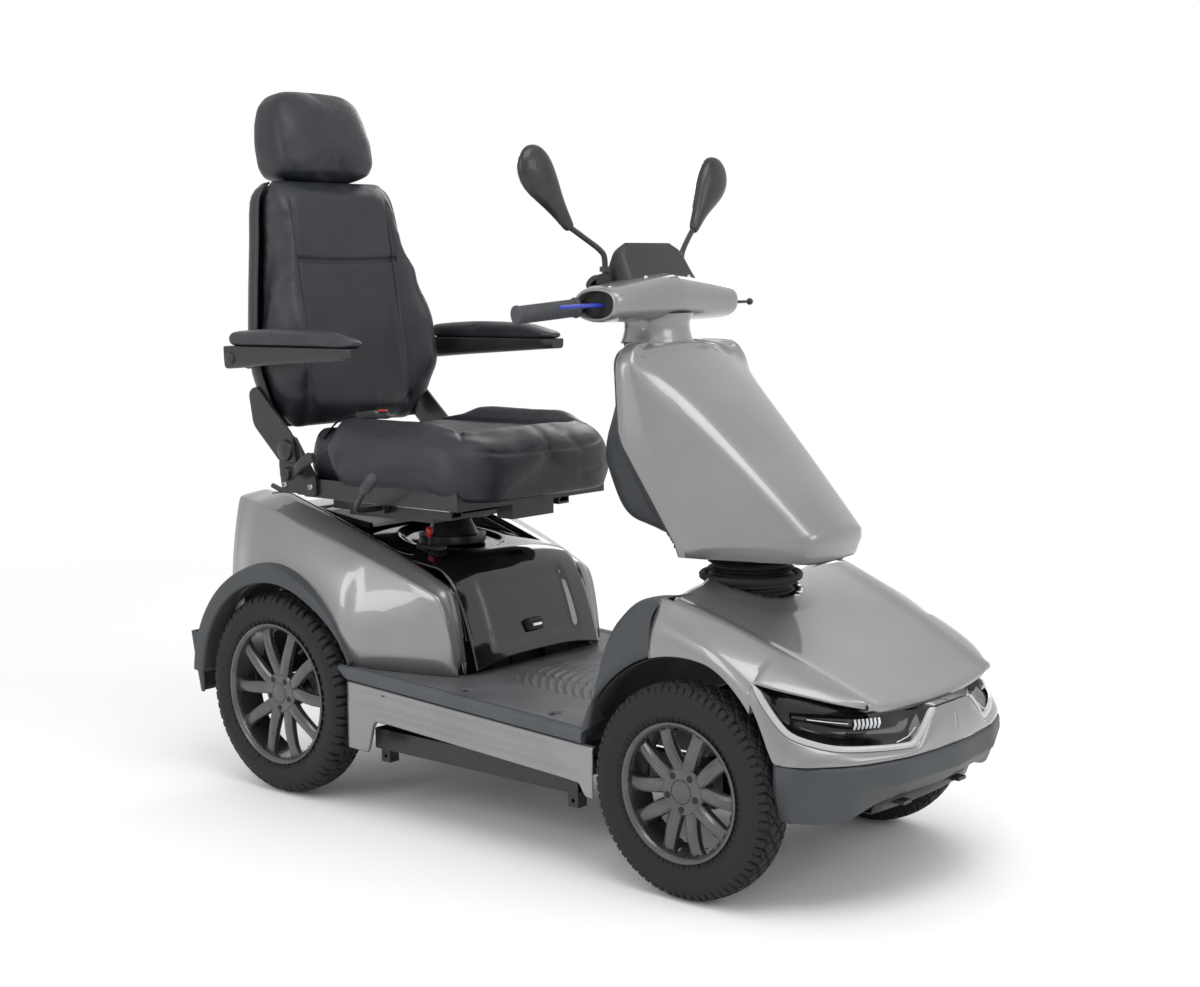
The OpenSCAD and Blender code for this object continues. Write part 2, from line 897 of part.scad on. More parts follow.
// rounded tail moulding between the rear fenders
module rear_panel() {
    color(SILVER)
        difference() {
            plan([[-262, 684], [-200, 722], [-110, 746], [110, 746], [200, 722], [262, 684]],
                290, 548);
            plan([[-263, 678], [-198, 717], [-108, 741], [108, 741], [198, 717], [263, 678]],
                289, 544);
            // corners cut clear of the tyres
            for (s = [-1, 1])
                on_side(s)
                    block([-264, 670, 289], [-232, 760, 332]);
        }
}

module tail_lamps() {
    color([0.6, 0.05, 0.05])
        for (s = [-1, 1])
            on_side(s)
                plan([[-112, 746], [-198, 723.2], [-201, 729], [-112, 753]], 456, 500);
}

// ---------------------------------------------------------------- front body
function hood_z(y) = lerp(512, 356, pow(max(0, (-y - 392) / 412), 1.25));
function ridge_x(y) = lerp(264, 198, max(0, min(1, (-y - 470) / 334)));
function hood_row(t, d) =
    [for (j = [0:12])
        let (u = j / 6 - 1, y = lerp(-398 - 66 * u * u, -806 - 7 * (1 - u * u), t))
        [u * (ridge_x(y) - 0.5), y, hood_z(y) - 10 * (1 - pow(abs(u), 2.2)) - d]];

function wing_low(y) = max(272, arch_z(y, front_y, front_z));
function wing_row(y, d) =
    let (xr = ridge_x(y), z = hood_z(y), f = max(0, (-y - 640) / 166), zl = wing_low(y))
    [[-xr + 2, y, z - d],
     [-lerp(lerp(xr, 306, 0.45), xr, f) + d * 0.5, y, lerp(z, zl, 0.3) - d * 0.6],
     [-lerp(300, 214, pow(f, 1.4)) + d, y, lerp(z, zl, 0.7)],
     [-lerp(308, 218, pow(f, 1.4)) + d, y, zl]];

// one-piece nose: top skin, front wings and the hole round the tiller bellows
module hood() {
    n = 14;
    color(SILVER)
        union() {
            difference() {
                skin_between([for (i = [0:n]) hood_row(i / n, 0)],
                    [for (i = [0:n]) hood_row(i / n, skin)]);
                zring(0, -steer_y, 380, 600, 84);
            }
            for (s = [-1, 1])
                on_side(s)
                    skin_between([for (i = [0:n]) wing_row(lerp(-742, -464, i / n), 0)],
                        [for (i = [0:n]) wing_row(lerp(-742, -464, i / n), skin)]);
        }
}

// point on the dark rear section of a front fender, a degrees up from the platform,
// d inside the skin, with the shoulder raised by h
function guard_pt(a, d, h = 0) =
    let (r = arch_r + 42 - d + h * max(0, min(1, (a - 20) / 30)))
    [front_y + r * cos(a) * 0.82, front_z + r * sin(a) * 1.16];

// dark rear halves of the front fenders and the shield between them
module fender_guards() {
    n = 12;
    top = [for (i = [0:n]) guard_pt(lerp(17, 72, i / n), 0)];
    under = [for (i = [n:-1:0]) guard_pt(lerp(17, 72, i / n), skin)];
    high = [for (i = [0:n]) guard_pt(lerp(17, 67, i / n), 0, 22)];
    high_in = [for (i = [n:-1:0]) guard_pt(lerp(17, 67, i / n), skin, 22)];
    rim = [for (i = [n:-1:0]) guard_pt(lerp(17, 67, i / n), 40)];
    color(DARK)
        difference() {
            union() {
                slab(concat(top, under), -200, 200);
                // raised shoulders over the wheels, each with its inner and outer cheek
                for (s = [-1, 1])
                    on_side(s) {
                        slab(concat(high, high_in), -308, -197);
                        slab(concat(high, rim), -309, -305);
                        slab(concat(high, [for (i = [n:-1:0]) guard_pt(lerp(17, 67, i / n), skin)]), -200, -196);
                    }
            }
            block([-160, front_y + 60, front_z + 270], [160, front_y + 96, front_z + 310]);
            zring(0, -steer_y, 380, 600, 84);
        }
}

module bumper() {
    color(DARK)
        difference() {
            plan([[-306, -706], [-296, -748], [-236, -808], [-150, -846], [0, -862],
                [150, -846], [236, -808], [296, -748], [306, -706],
                [290, -706], [226, -790], [146, -826], [0, -842],
                [-146, -826], [-226, -790], [-290, -706]], 160, 262);
            slab([[-900, 262.1], [-820, 262.1], [-900, 236]], -320, 320);
            slab([[-900, 159], [-900, 204], [-790, 159]], -320, 320);
        }
}

module bumper_bracket(s) {
        on_side(s)
            block([-102, -818, 170], [-78, -700, 176]);
}

// silver trapezoid in the middle of the nose with the lamp surrounds on both sides
module nose_panel() {
    color(SILVER)
        union() {
            slab([[-846, 262.4], [-852, 262.4], [-838, 318], [-812, 334], [-806, 334], [-832, 315]],
                -92, 92);
            for (s = [-1, 1])
                on_side(s)
                    plan([[-90, -850], [-90, -828], [-196, -794], [-254, -712], [-268, -714],
                        [-206, -808]], 262.4, 281.6);
        }
}

// black lamp recesses with their light strips
module headlamps() {
    color(BLACK)
        for (s = [-1, 1])
            on_side(s)
                union() {
                    plan([[-93, -830], [-93, -822], [-190, -786], [-238, -714],
                        [-251, -714], [-196, -794]], 282, 336);
                    plan([[-104, -834], [-104, -820], [-160, -800], [-166, -808]], 296, 312);
                }
}

// ---------------------------------------------------------------- tiller
tiller_lean = 23.7;
module tiller_tube() {
    color(STEEL)
        union() {
            difference() {
                xring(-31, 31, -steer_y, tilt_z, 20);
                xring(-32, 32, -steer_y, tilt_z, 8 + fit);
            }
            rod([0, -steer_y + 8, tilt_z + 18.2], [0, -242, 952], 19);
        }
}

// half outline of the cowl at parameter t, 0 at the top and 1 at the bottom lip
function edge_pt(t) = t < 0.46
    ? [lerp(176, 182, t / 0.46), lerp(-279, -292, t / 0.46), lerp(911, 752, t / 0.46)]
    : [lerp(182, 150, (t - 0.46) / 0.54), lerp(-292, -392, (t - 0.46) / 0.54),
        lerp(752, 566, (t - 0.46) / 0.54)];
function ridge_pt(t) = [lerp(132, 88, t), lerp(-292, -619, pow(t, 0.92)), lerp(898, 590, t)];
function cowl_row(t, d) =
    let (e = edge_pt(t), r = ridge_pt(t), s = 1 - d / 150)
    concat(
        [[-e.x * s, e.y + 14, e.z], [-e.x * s, e.y - 8 + d, e.z]],
        [[-lerp(e.x, r.x, 0.55) * s, lerp(e.y - 8, r.y, 0.62) + d, lerp(e.z, r.z, 0.6)]],
        [[-r.x * s, r.y + d * 1.2, r.z]],
        [for (u = [-0.5, 0, 0.5]) [u * r.x * s, r.y + d * 1.2 - 10 * (1 - u * u), r.z + 12 * (1 - u * u)]],
        [[r.x * s, r.y + d * 1.2, r.z]],
        [[lerp(e.x, r.x, 0.55) * s, lerp(e.y - 8, r.y, 0.62) + d, lerp(e.z, r.z, 0.6)]],
        [[e.x * s, e.y - 8 + d, e.z], [e.x * s, e.y + 14, e.z]]);

// shield-shaped cowl with its lower lip
module tiller_cowl() {
    n = 14;
    color(SILVER)
        union() {
            skin_between([for (i = [0:n]) cowl_row(i / n, 0)], [for (i = [0:n]) cowl_row(i / n, skin)]);
            difference() {
                plan([[-150, -380], [-90, -620], [0, -630], [90, -620], [150, -380]], 548, 568);
                plan([[-144, -379], [-84, -612], [0, -622], [84, -612], [144, -379]], 547, 569);
            }
        }
}

socket_c = [141, -288, 690];
// rear shell of the tiller, bowed towards the rider
module tiller_back() {
    w = 141;
    color(DARK)
        difference() {
            union() {
                slab([[-272, 906], [-250, 906], [-238, 740], [-284, 604], [-330, 584],
                    [-384, 566], [-388, 572], [-286, 752]], -w, w);
                slab([[-272, 904], [-230, 904], [-196, 720], [-236, 606], [-320, 586],
                    [-384, 572]], -96, 96);
            }
            slab([[-276, 900], [-254, 900], [-242, 741], [-288, 608], [-332, 589],
                [-382, 573], [-290, 752]], -w + 4, w - 4);
            slab([[-290, 900], [-234, 900], [-200, 720], [-239, 610], [-322, 590],
                [-384, 576]], -92, 92);
            // way through for the tiller tube, and the seat of the charging socket
            rod([0, -steer_y + 8, tilt_z + 18.2], [0, -242, 952], 20);
            xring(socket_c.x - 20, socket_c.x + 20, socket_c.y, socket_c.z, 13 + fit);
        }
}

// charging socket in the left cheek of the rear shell
module charge_socket() {
    color(STEEL)
        difference() {
            xring(socket_c.x - 10, socket_c.x + 4, socket_c.y, socket_c.z, 13);
            xring(socket_c.x - 7, socket_c.x + 5, socket_c.y, socket_c.z, 9.5);
        }
}

bar_y = -196;
bar_z = 984;
// point on the swept-back end of the bar, u from the bend to the tip
function bar_pt(k, u) = [k * lerp(150, 298, u), lerp(bar_y, bar_y + 46, u), lerp(bar_z, bar_z - 14, u)];
// closed tube wall between two stacks of rings
module ring_between(P, Q) {
    nu = len(P);
    nv = len(P[0]);
    n = nu * nv;
    pts = concat([for (r = P) for (p = r) p], [for (r = Q) for (p = r) p]);
    outer = [for (i = [0:nu - 2]) for (j = [0:nv - 1]) for (k = [0, 1])
        let (m = (j + 1) % nv)
        k == 0 ? [i * nv + j, i * nv + m, (i + 1) * nv + m]
               : [i * nv + j, (i + 1) * nv + m, (i + 1) * nv + j]];
    inner = [for (f = outer) [f[2] + n, f[1] + n, f[0] + n]];
    e1 = [for (j = [0:nv - 1]) for (k = [0, 1])
        let (m = (j + 1) % nv)
        k == 0 ? [m, j, j + n] : [m, j + n, m + n]];
    b = (nu - 1) * nv;
    e2 = [for (j = [0:nv - 1]) for (k = [0, 1])
        let (m = (j + 1) % nv)
        k == 0 ? [b + j, b + m, b + j + n] : [b + m, b + m + n, b + j + n]];
    polyhedron(points = pts, faces = concat(outer, inner, e1, e2), convexity = 6);
}

// whale-shaped silver cover over the handlebar, open at both ends, with neck and mirror sockets
module bar_housing() {
    n = 14;
    function row(i, d) =
        let (x = lerp(-180, 180, i / n), u = abs(x) / 180,
            ry = lerp(64, 52, pow(u, 1.4)) - d, rz = lerp(43, 30, pow(u, 1.5)) - d)
        [for (a = [0:24:336]) [x, -230 + ry * cos(a), lerp(998, 986, u) + rz * sin(a)]];
    color(SILVER)
        difference() {
            union() {
                ring_between([for (i = [n:-1:0]) row(i, 0)], [for (i = [n:-1:0]) row(i, skin)]);
                translate([0, -226, 914])
                    difference() {
                        cylinder(h = 48, r1 = 70, r2 = 60);
                        translate([0, 0, -1])
                            cylinder(h = 50, r1 = 66, r2 = 56);
                    }
                for (k = [-1, 1])
                    zring(k * 112, -196, 1008, 1040, 12);
            }
            for (k = [-1, 1])
                zring(k * 112, -196, 1000, 1041, 6 + fit);
            zring(0, -226, 930, 980, 52);
            // the ends of the bar leave through the rear wall
            for (k = [-1, 1])
                rod([k * 140, bar_y, bar_z], bar_pt(k, 1), 19.5);
        }
}

// handlebar with its clamp on the tiller tube and the lever bosses
module handlebar() {
    color(STEEL)
        difference() {
            union() {
                rod([-150, bar_y, bar_z], [150, bar_y, bar_z], 11);
                for (k = [-1, 1]) {
                    rod([k * 150, bar_y, bar_z], [k * 298, bar_y + 46, bar_z - 14], 11);
                    translate([k * 150, bar_y, bar_z])
                        sphere(r = 12.5, $fn = 48);
                    block([k * 132 - 9, -250, 970], [k * 132 + 9, -196, 978]);
                    zring(k * 132, -238, 970, 998, 4);
                }
                block([-26, bar_y - 66, 954], [26, bar_y + 14, bar_z + 13]);
            }
            rod([0, -steer_y + 8, tilt_z + 18.2], [0, -242, 955], 19.1);
        }
}

module grips() {
    g = (151 - grip_len) / 148;
    color(BLACK)
        for (k = [-1, 1])
            difference() {
                union() {
                    rod(bar_pt(k, g), bar_pt(k, 1.02), 16);
                    rod(bar_pt(k, g), bar_pt(k, g + 0.04), 19);
                }
                rod(bar_pt(k, g - 0.1), bar_pt(k, 1.001), 11 + fit);
            }
}

// display hood with the switch row, key switch and dial seat on the rider's side
module console() {
    color(BLACK)
        difference() {
            union() {
                slab([[-270, 1041.5], [-262, 1052], [-238, 1084], [-206, 1094], [-180, 1082],
                    [-152, 1046], [-160, 1036], [-200, 1047]], -82, 82);
                translate([100, -170, 1016])
                    rotate([-50, 0, 0])
                        cylinder(h = 14, r = 9);
                translate([-100, -170, 1016])
                    rotate([-50, 0, 0])
                        cylinder(h = 6, r = 16);
                block([-66, -168, 1014], [66, -150, 1040]);
            }
            slab([[-180, 1070], [-172, 1083], [-146, 1056], [-156, 1046]], -64, 64);
            translate([54, -162, 1027])
                rotate([-90, 0, 0])
                    cylinder(h = 14, r = 7);
            translate([100, -170, 1016])
                rotate([-50, 0, 0])
                    translate([0, 0, 6])
                        cylinder(h = 10, r = 5 + fit);
            translate([-100, -170, 1016])
                rotate([-50, 0, 0])
                    translate([0, 0, -1])
                        cylinder(h = 10, r = 4 + fit);
        }
}

// a row of buttons, key switch and speed dial on the rider's face of the housing

module key() {
    color(STEEL)
        translate([100, -170, 1016])
            rotate([-50, 0, 0])
                union() {
                    translate([0, 0, 7])
                        cylinder(h = 8, r = 5);
                    block([-1.5, -9, 14.6], [1.5, 9, 38]);
                }
}

module speed_dial() {
    color(BLACK)
        translate([-100, -170, 1016])
            rotate([-50, 0, 0])
                union() {
                    cylinder(h = 8, r = 4);
                    difference() {
                        translate([0, 0, 6.5])
                            cylinder(h = 13, r = 13);
                        translate([0, 9, 17])
                            cylinder(h = 4, r = 1.5);
                    }
                }
}

module horn_button() {
    color(DARK)
        translate([54, -156, 1027])
            rotate([-90, 0, 0])
                cylinder(h = 10, r = 6.5);
}

module throttle_lever() {
    color([0.12, 0.16, 0.5])
        difference() {
            union() {
                zring(-132, -238, 979, 990, 10);
                plan([[-130, -247], [-130, -230], [-190, -222], [-246, -206], [-254, -206],
                    [-252, -214], [-190, -234]], 980, 989);
            }
            zring(-132, -238, 978, 991, 4 + fit);
        }
}

module brake_lever() {
    color(BLACK)
        difference() {
            union() {
                zring(132, -238, 979, 990, 10);
                plan([[130, -247], [130, -230], [190, -250], [234, -262], [234, -268],
                    [190, -258]], 981, 988);
                translate([236, -265, 984.5])
                    sphere(r = 7, $fn = 32);
            }
            zring(132, -238, 978, 991, 4 + fit);
        }
}

// mirrors
module rear_mirror(s) {
    color(BLACK)
        on_side(s)
            union() {
                zring(-112, -196, 1012, 1074, 6);
                rod([-112, -196, 1070], [-190, -168, 1130], 5.5);
                hull() {
                    translate([-196, -166, 1140])
                        sphere(r = 12, $fn = 24);
                    for (q = [[-232, -157, 1184, 27], [-262, -150, 1220, 38]])
                        translate([q[0], q[1], q[2]])
                            rotate([90, 0, 0])
                                cylinder(h = 8, r = q[3], $fn = 32);
                    for (q = [[-232, -176, 1184, 14], [-260, -170, 1218, 22]])
                        translate([q[0], q[1], q[2]])
                            rotate([90, 0, 0])
                                cylinder(h = 8, r = q[3], $fn = 32);
                }
            }
}

module side_skirts() {
    color(SILVER)
        for (s = [-1, 1])
            skirt(s);
}

module rear_fenders() {
    for (s = [-1, 1])
        rear_fender(s);
}

module rear_flares() {
    for (s = [-1, 1])
        rear_flare(s);
}

// moves the wheelbase frame onto the middle of the overall box
module placed() {
    translate([0, mid_shift, 0])
        children();
}

placed() tyre(true, -1);  // tyre_front_r
placed() tyre(true, 1);  // tyre_front_l
placed() tyre(false, -1);  // tyre_rear_r
placed() tyre(false, 1);  // tyre_rear_l
placed() rim(true, -1);  // rim_front_r
placed() rim(true, 1);  // rim_front_l
placed() rim(false, -1);  // rim_rear_r
placed() rim(false, 1);  // rim_rear_l
placed() half_shaft(-1);  // half_shaft_r
placed() knuckle(-1);  // knuckle_r
placed() armrest(-1);  // armrest_r
placed() rear_mirror(-1);  // mirror_r
placed() half_shaft(1);  // half_shaft_l
placed() knuckle(1);  // knuckle_l
placed() armrest(1);  // armrest_l
placed() rear_mirror(1);  // mirror_l
placed() frame();
placed() floor_mat();
placed() side_skirts();
placed() freewheel_lever();
placed() transaxle();
placed() motor();
placed() batteries();
placed() seat_post();
placed() rear_fenders();
placed() rear_flares();
placed() rear_shroud();
placed() rear_panel();
placed() tail_lamps();
placed() hood();
placed() fender_guards();
placed() bumper();
placed() nose_panel();
placed() headlamps();
placed() steering_shaft();
placed() bellows();
placed() tie_rod();
placed() tiller_tube();
placed() tiller_cowl();
placed() tiller_back();
placed() bar_housing();
placed() handlebar();
placed() grips();
placed() console();
placed() charge_socket();
placed() throttle_lever();
placed() brake_lever();
placed() key();
placed() speed_dial();
placed() horn_button();
placed() seat_swivel();
placed() seat_frame();
placed() seat_cushion();
placed() slide_lever();
placed() recline_lever();
placed() belt_buckle();
placed() belt_button();
placed() backrest_shell();
placed() backrest_cushion();
placed() headrest();
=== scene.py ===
from math import copysign, cos, degrees, exp, hypot, pi, radians, sin, sqrt

import bmesh
import bpy
import numpy as np
from mathutils import Matrix, Vector, noise


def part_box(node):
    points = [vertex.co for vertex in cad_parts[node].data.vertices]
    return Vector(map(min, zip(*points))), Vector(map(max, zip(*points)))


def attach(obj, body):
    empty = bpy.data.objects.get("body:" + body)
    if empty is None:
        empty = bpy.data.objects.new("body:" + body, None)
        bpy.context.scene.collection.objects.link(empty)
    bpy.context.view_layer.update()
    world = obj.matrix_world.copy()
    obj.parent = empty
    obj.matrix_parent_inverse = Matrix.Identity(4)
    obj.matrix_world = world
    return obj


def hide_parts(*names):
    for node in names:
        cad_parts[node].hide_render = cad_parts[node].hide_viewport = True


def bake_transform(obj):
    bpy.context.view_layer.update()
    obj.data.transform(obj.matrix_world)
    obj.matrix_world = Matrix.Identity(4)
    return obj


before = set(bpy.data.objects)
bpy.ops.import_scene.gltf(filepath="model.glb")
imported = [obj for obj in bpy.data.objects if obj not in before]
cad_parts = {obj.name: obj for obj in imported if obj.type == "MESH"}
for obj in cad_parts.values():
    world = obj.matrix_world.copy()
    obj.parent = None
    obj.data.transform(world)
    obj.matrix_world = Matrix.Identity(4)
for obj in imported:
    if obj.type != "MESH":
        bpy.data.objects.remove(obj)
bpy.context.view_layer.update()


def mid(node, i):
    lo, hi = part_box(node)
    return (lo[i] + hi[i]) / 2


# middle of the wheelbase; all lengths below are measured from it
SH = (mid("tyre_front_r", 1) + mid("tyre_rear_r", 1)) / 2
FY = mid("tyre_front_r", 1) - SH
RY = mid("tyre_rear_r", 1) - SH
FZ = mid("tyre_front_r", 2)
RZ = mid("tyre_rear_r", 2)
# height of the mat's upper face at mid wheelbase and its rise towards the rear
FLOOR = 0.27
SLOPE = 0.0484
# the steering axis, the seat post, and the radius of the wheel arches
STEER_Y = -0.437
POST_Y = 0.32
ARCH = 0.226


# ---------------------------------------------------------------- materials
class Mat:
    """A node material built on one Principled shader."""

    def __init__(self, name, rough=0.5, metal=0.0, coat=0.0, spec=0.5):
        self.m = bpy.data.materials.new(name)
        self.m.use_nodes = True
        self.t = self.m.node_tree
        self.t.nodes.clear()
        self.out = self.t.nodes.new("ShaderNodeOutputMaterial")
        self.b = self.t.nodes.new("ShaderNodeBsdfPrincipled")
        self.t.links.new(self.b.outputs[0], self.out.inputs[0])
        self.b.inputs["Roughness"].default_value = rough
        self.b.inputs["Metallic"].default_value = metal
        self.b.inputs["Coat Weight"].default_value = coat
        self.b.inputs["Coat Roughness"].default_value = 0.04
        self.b.inputs["Specular IOR Level"].default_value = spec
        self.co = self.t.nodes.new("ShaderNodeTexCoord")
        self.height = None

    def node(self, kind, **values):
        n = self.t.nodes.new(kind)
        for k, v in values.items():
            if k in n.inputs:
                n.inputs[k].default_value = v
            else:
                setattr(n, k, v)
        return n

    def link(self, a, b):
        self.t.links.new(a, b)

    def noise(self, scale, detail=3.0, rough=0.55, distort=0.0, stretch=None):
        n = self.node("ShaderNodeTexNoise")
        n.inputs["Scale"].default_value = scale
        n.inputs["Detail"].default_value = detail
        n.inputs["Roughness"].default_value = rough
        n.inputs["Distortion"].default_value = distort
        self.feed(n, stretch)
        return n.outputs[0]

    def feed(self, n, stretch=None):
        if stretch:
            m = self.node("ShaderNodeMapping")
            m.inputs["Scale"].default_value = stretch
            self.link(self.co.outputs["Object"], m.inputs[0])
            self.link(m.outputs[0], n.inputs["Vector"])
        else:
            self.link(self.co.outputs["Object"], n.inputs["Vector"])

    def cells(self, scale, feature="F1", rand=1.0):
        n = self.node("ShaderNodeTexVoronoi")
        n.feature = feature
        n.inputs["Scale"].default_value = scale
        n.inputs["Randomness"].default_value = rand
        self.feed(n)
        return n

    def ramp(self, src, stops):
        n = self.node("ShaderNodeValToRGB")
        e = n.color_ramp.elements
        while len(e) < len(stops):
            e.new(0.5)
        for k, (p, c) in enumerate(stops):
            e[k].position = p
            e[k].color = (*c, 1) if len(c) == 3 else c
        self.link(src, n.inputs[0])
        return n.outputs[0]

    def colour(self, src, a, b, lo=0.35, hi=0.65):
        c = self.ramp(src, [(lo, a), (hi, b)])
        self.link(c, self.b.inputs["Base Color"])
        return c

    def vary(self, socket, src, lo, hi, f0=0.3, f1=0.7):
        n = self.node("ShaderNodeMapRange")
        n.inputs[1].default_value = f0
        n.inputs[2].default_value = f1
        n.inputs[3].default_value = lo
        n.inputs[4].default_value = hi
        self.link(src, n.inputs[0])
        self.link(n.outputs[0], self.b.inputs[socket])

    def bump(self, src, strength, dist=0.001):
        n = self.node("ShaderNodeBump")
        n.inputs["Strength"].default_value = strength
        n.inputs["Distance"].default_value = dist
        self.link(src, n.inputs["Height"])
        if self.height:
            self.link(self.height, n.inputs["Normal"])
        self.height = n.outputs[0]
        self.link(self.height, self.b.inputs["Normal"])


def paint(name, a, b):
    m = Mat(name, rough=0.3, metal=0.55, coat=1.0)
    flake = m.cells(1600)
    big = m.noise(5, 2)
    m.colour(big, a, b)
    m.vary("Roughness", flake.outputs["Distance"], 0.24, 0.4, 0.0, 0.6)
    m.bump(flake.outputs["Distance"], 0.06, 0.0004)
    m.bump(m.noise(70, 2), 0.02, 0.002)
    return m.m


def plastic(name, a, b, rough=0.55, grain=900, strength=0.25, coat=0.0):
    m = Mat(name, rough=rough, coat=coat)
    wear = m.noise(9, 5, 0.6)
    m.colour(wear, a, b)
    m.vary("Roughness", wear, rough - 0.08, rough + 0.1)
    m.bump(m.cells(grain).outputs["Distance"], strength, 0.0006)
    return m.m


def gloss(name, a, b, rough=0.06, spec=0.5):
    m = Mat(name, rough=rough, coat=0.6, spec=spec)
    n = m.noise(16, 5, 0.6, 0.4)
    m.colour(n, a, b)
    m.vary("Roughness", n, rough * 0.7, rough * 1.9)
    m.bump(m.noise(35, 1), 0.02, 0.002)
    return m.m


def leather(name, a, b):
    m = Mat(name, rough=0.42, spec=0.45)
    n = m.noise(7, 5, 0.6)
    m.colour(n, a, b)
    m.vary("Roughness", m.noise(24, 4), 0.34, 0.52)
    grain = m.cells(520)
    m.bump(m.noise(28, 4, 0.6, 0.6), 0.12, 0.004)
    m.bump(grain.outputs["Distance"], 0.45, 0.0007)
    m.bump(m.noise(1500, 2), 0.1, 0.0004)
    return m.m


def rubber(name, a, b, rough=0.75):
    m = Mat(name, rough=rough, spec=0.3)
    n = m.noise(14, 6, 0.65)
    m.colour(n, a, b)
    m.vary("Roughness", n, rough - 0.1, rough + 0.12)
    m.bump(m.noise(420, 4), 0.2, 0.0006)
    return m.m


def metal(name, a, b, rough=0.35, metallic=1.0, brush=None, coat=0.0):
    m = Mat(name, rough=rough, metal=metallic, coat=coat)
    n = m.noise(22, 5, 0.6)
    m.colour(n, a, b)
    m.vary("Roughness", n, rough * 0.75, rough * 1.3)
    fine = m.noise(600, 3, 0.5, 0.0, brush) if brush else m.noise(700, 3)
    m.bump(fine, 0.08, 0.0004)
    return m.m


def weave(name, a, b):
    m = Mat(name, rough=0.8, spec=0.2)
    w = m.node("ShaderNodeTexWave")
    w.wave_type = "BANDS"
    w.bands_direction = "DIAGONAL"
    w.inputs["Scale"].default_value = 260
    w.inputs["Distortion"].default_value = 0.6
    m.feed(w)
    m.colour(w.outputs[1], a, b)
    m.bump(w.outputs[1], 0.5, 0.0008)
    return m.m


def lens(name, tint, alpha=0.35, rough=0.03):
    m = Mat(name, rough=rough, coat=1.0)
    n = m.noise(30, 2)
    m.colour(n, tint, tuple(c * 0.9 for c in tint))
    m.b.inputs["Transmission Weight"].default_value = alpha
    m.b.inputs["IOR"].default_value = 1.45
    r = m.node("ShaderNodeTexWave")
    r.inputs["Scale"].default_value = 90
    m.feed(r)
    m.bump(r.outputs[1], 0.12, 0.001)
    return m.m


SILVER = paint("silver_flake_paint", (0.215, 0.208, 0.212), (0.245, 0.238, 0.242))
LAMPBLACK = gloss("lamp_black", (0.0025, 0.0025, 0.003), (0.005, 0.005, 0.006), 0.22, 0.25)
TRIM = plastic("grey_moulded_trim", (0.032, 0.036, 0.04), (0.042, 0.047, 0.052), 0.48, 800, 0.3)
BLACKP = plastic("black_moulded_plastic", (0.01, 0.011, 0.013), (0.018, 0.019, 0.022), 0.42, 900, 0.25)
GLOSSB = gloss("black_gloss_shell", (0.004, 0.004, 0.005), (0.007, 0.007, 0.008))
LEATHER = leather("black_leather_cover", (0.012, 0.014, 0.018), (0.019, 0.022, 0.027))
ARMSKIN = leather("armrest_skin", (0.018, 0.02, 0.024), (0.028, 0.031, 0.036))
WEBBING = weave("belt_webbing", (0.008, 0.008, 0.01), (0.022, 0.022, 0.026))
TYRE = rubber("tyre_rubber", (0.008, 0.008, 0.009), (0.014, 0.014, 0.015), 0.62)
MAT = rubber("floor_rubber", (0.085, 0.088, 0.093), (0.11, 0.113, 0.12), 0.5)
MATEDGE = rubber("floor_edge_rubber", (0.06, 0.066, 0.074), (0.078, 0.085, 0.094), 0.5)
SOFT = rubber("black_rubber", (0.013, 0.014, 0.016), (0.024, 0.025, 0.028), 0.6)
GRIP = rubber("grip_rubber", (0.045, 0.047, 0.052), (0.065, 0.068, 0.075), 0.62)
ALLOY = metal("dark_alloy", (0.07, 0.068, 0.074), (0.1, 0.098, 0.105), 0.3, 0.7, None, 0.5)
CAST = metal("cast_housing", (0.3, 0.31, 0.32), (0.4, 0.41, 0.42), 0.55, 0.8)
STEELB = metal("black_painted_steel", (0.012, 0.012, 0.014), (0.022, 0.022, 0.025), 0.4, 0.2, None, 0.2)
STEEL = metal("bare_steel", (0.42, 0.42, 0.44), (0.55, 0.55, 0.57), 0.28, 1.0, (1, 1, 30))
CHROME = metal("chrome", (0.7, 0.7, 0.72), (0.82, 0.82, 0.84), 0.08, 1.0)
CASE = plastic("battery_case", (0.014, 0.014, 0.016), (0.022, 0.022, 0.025), 0.55, 700, 0.2)
BEZEL = plastic("lamp_surround", (0.36, 0.365, 0.37), (0.42, 0.425, 0.43), 0.3, 1200, 0.05, 0.6)
LED = lens("led_block", (0.8, 0.82, 0.85), 0.2, 0.12)
REDLENS = lens("red_lamp_lens", (0.42, 0.012, 0.01), 0.25)
BLUE = plastic("blue_lever_plastic", (0.02, 0.035, 0.3), (0.03, 0.05, 0.38), 0.32, 900, 0.1)
RED = plastic("red_plastic", (0.42, 0.018, 0.012), (0.52, 0.028, 0.018), 0.3, 900, 0.1)
SCREEN = gloss("display_glass", (0.012, 0.018, 0.022), (0.02, 0.028, 0.032), 0.04)
GLASS = metal("mirror_glass", (0.78, 0.8, 0.82), (0.84, 0.86, 0.88), 0.03, 1.0)
# near-black for the arch liners, the cowl floor, the ends of the bar cover and the wheel bolts: their black
# darkened further with painted shade
BLACK_AND_PAINTED_SHADE = plastic("inner_black_and_painted_shade", (0.004, 0.004, 0.005), (0.008, 0.008, 0.009), 0.7, 500, 0.2)

# the record's material slot that each finish belongs to
SLOTS = {"body_paint": (SILVER, BEZEL), "lamp_lens": (LAMPBLACK, LED), "trim_plastic": (TRIM,),
    "black_plastic": (BLACKP, BLACK_AND_PAINTED_SHADE), "gloss_black": (GLOSSB, SCREEN), "upholstery": (LEATHER, WEBBING),
    "soft_rubber": (MAT, MATEDGE, SOFT, GRIP), "alloy": (ALLOY,), "black_steel": (STEELB,),
    "bare_steel": (STEEL, CHROME, GLASS), "red_lens": (REDLENS,), "blue_plastic": (BLUE,),
    "red_plastic": (RED,),}
SLOT_OF = {m.name: slot for slot, mats in SLOTS.items() for m in mats}


# ---------------------------------------------------------------- mesh helpers
def lerp(a, b, t):
    return a + (b - a) * t


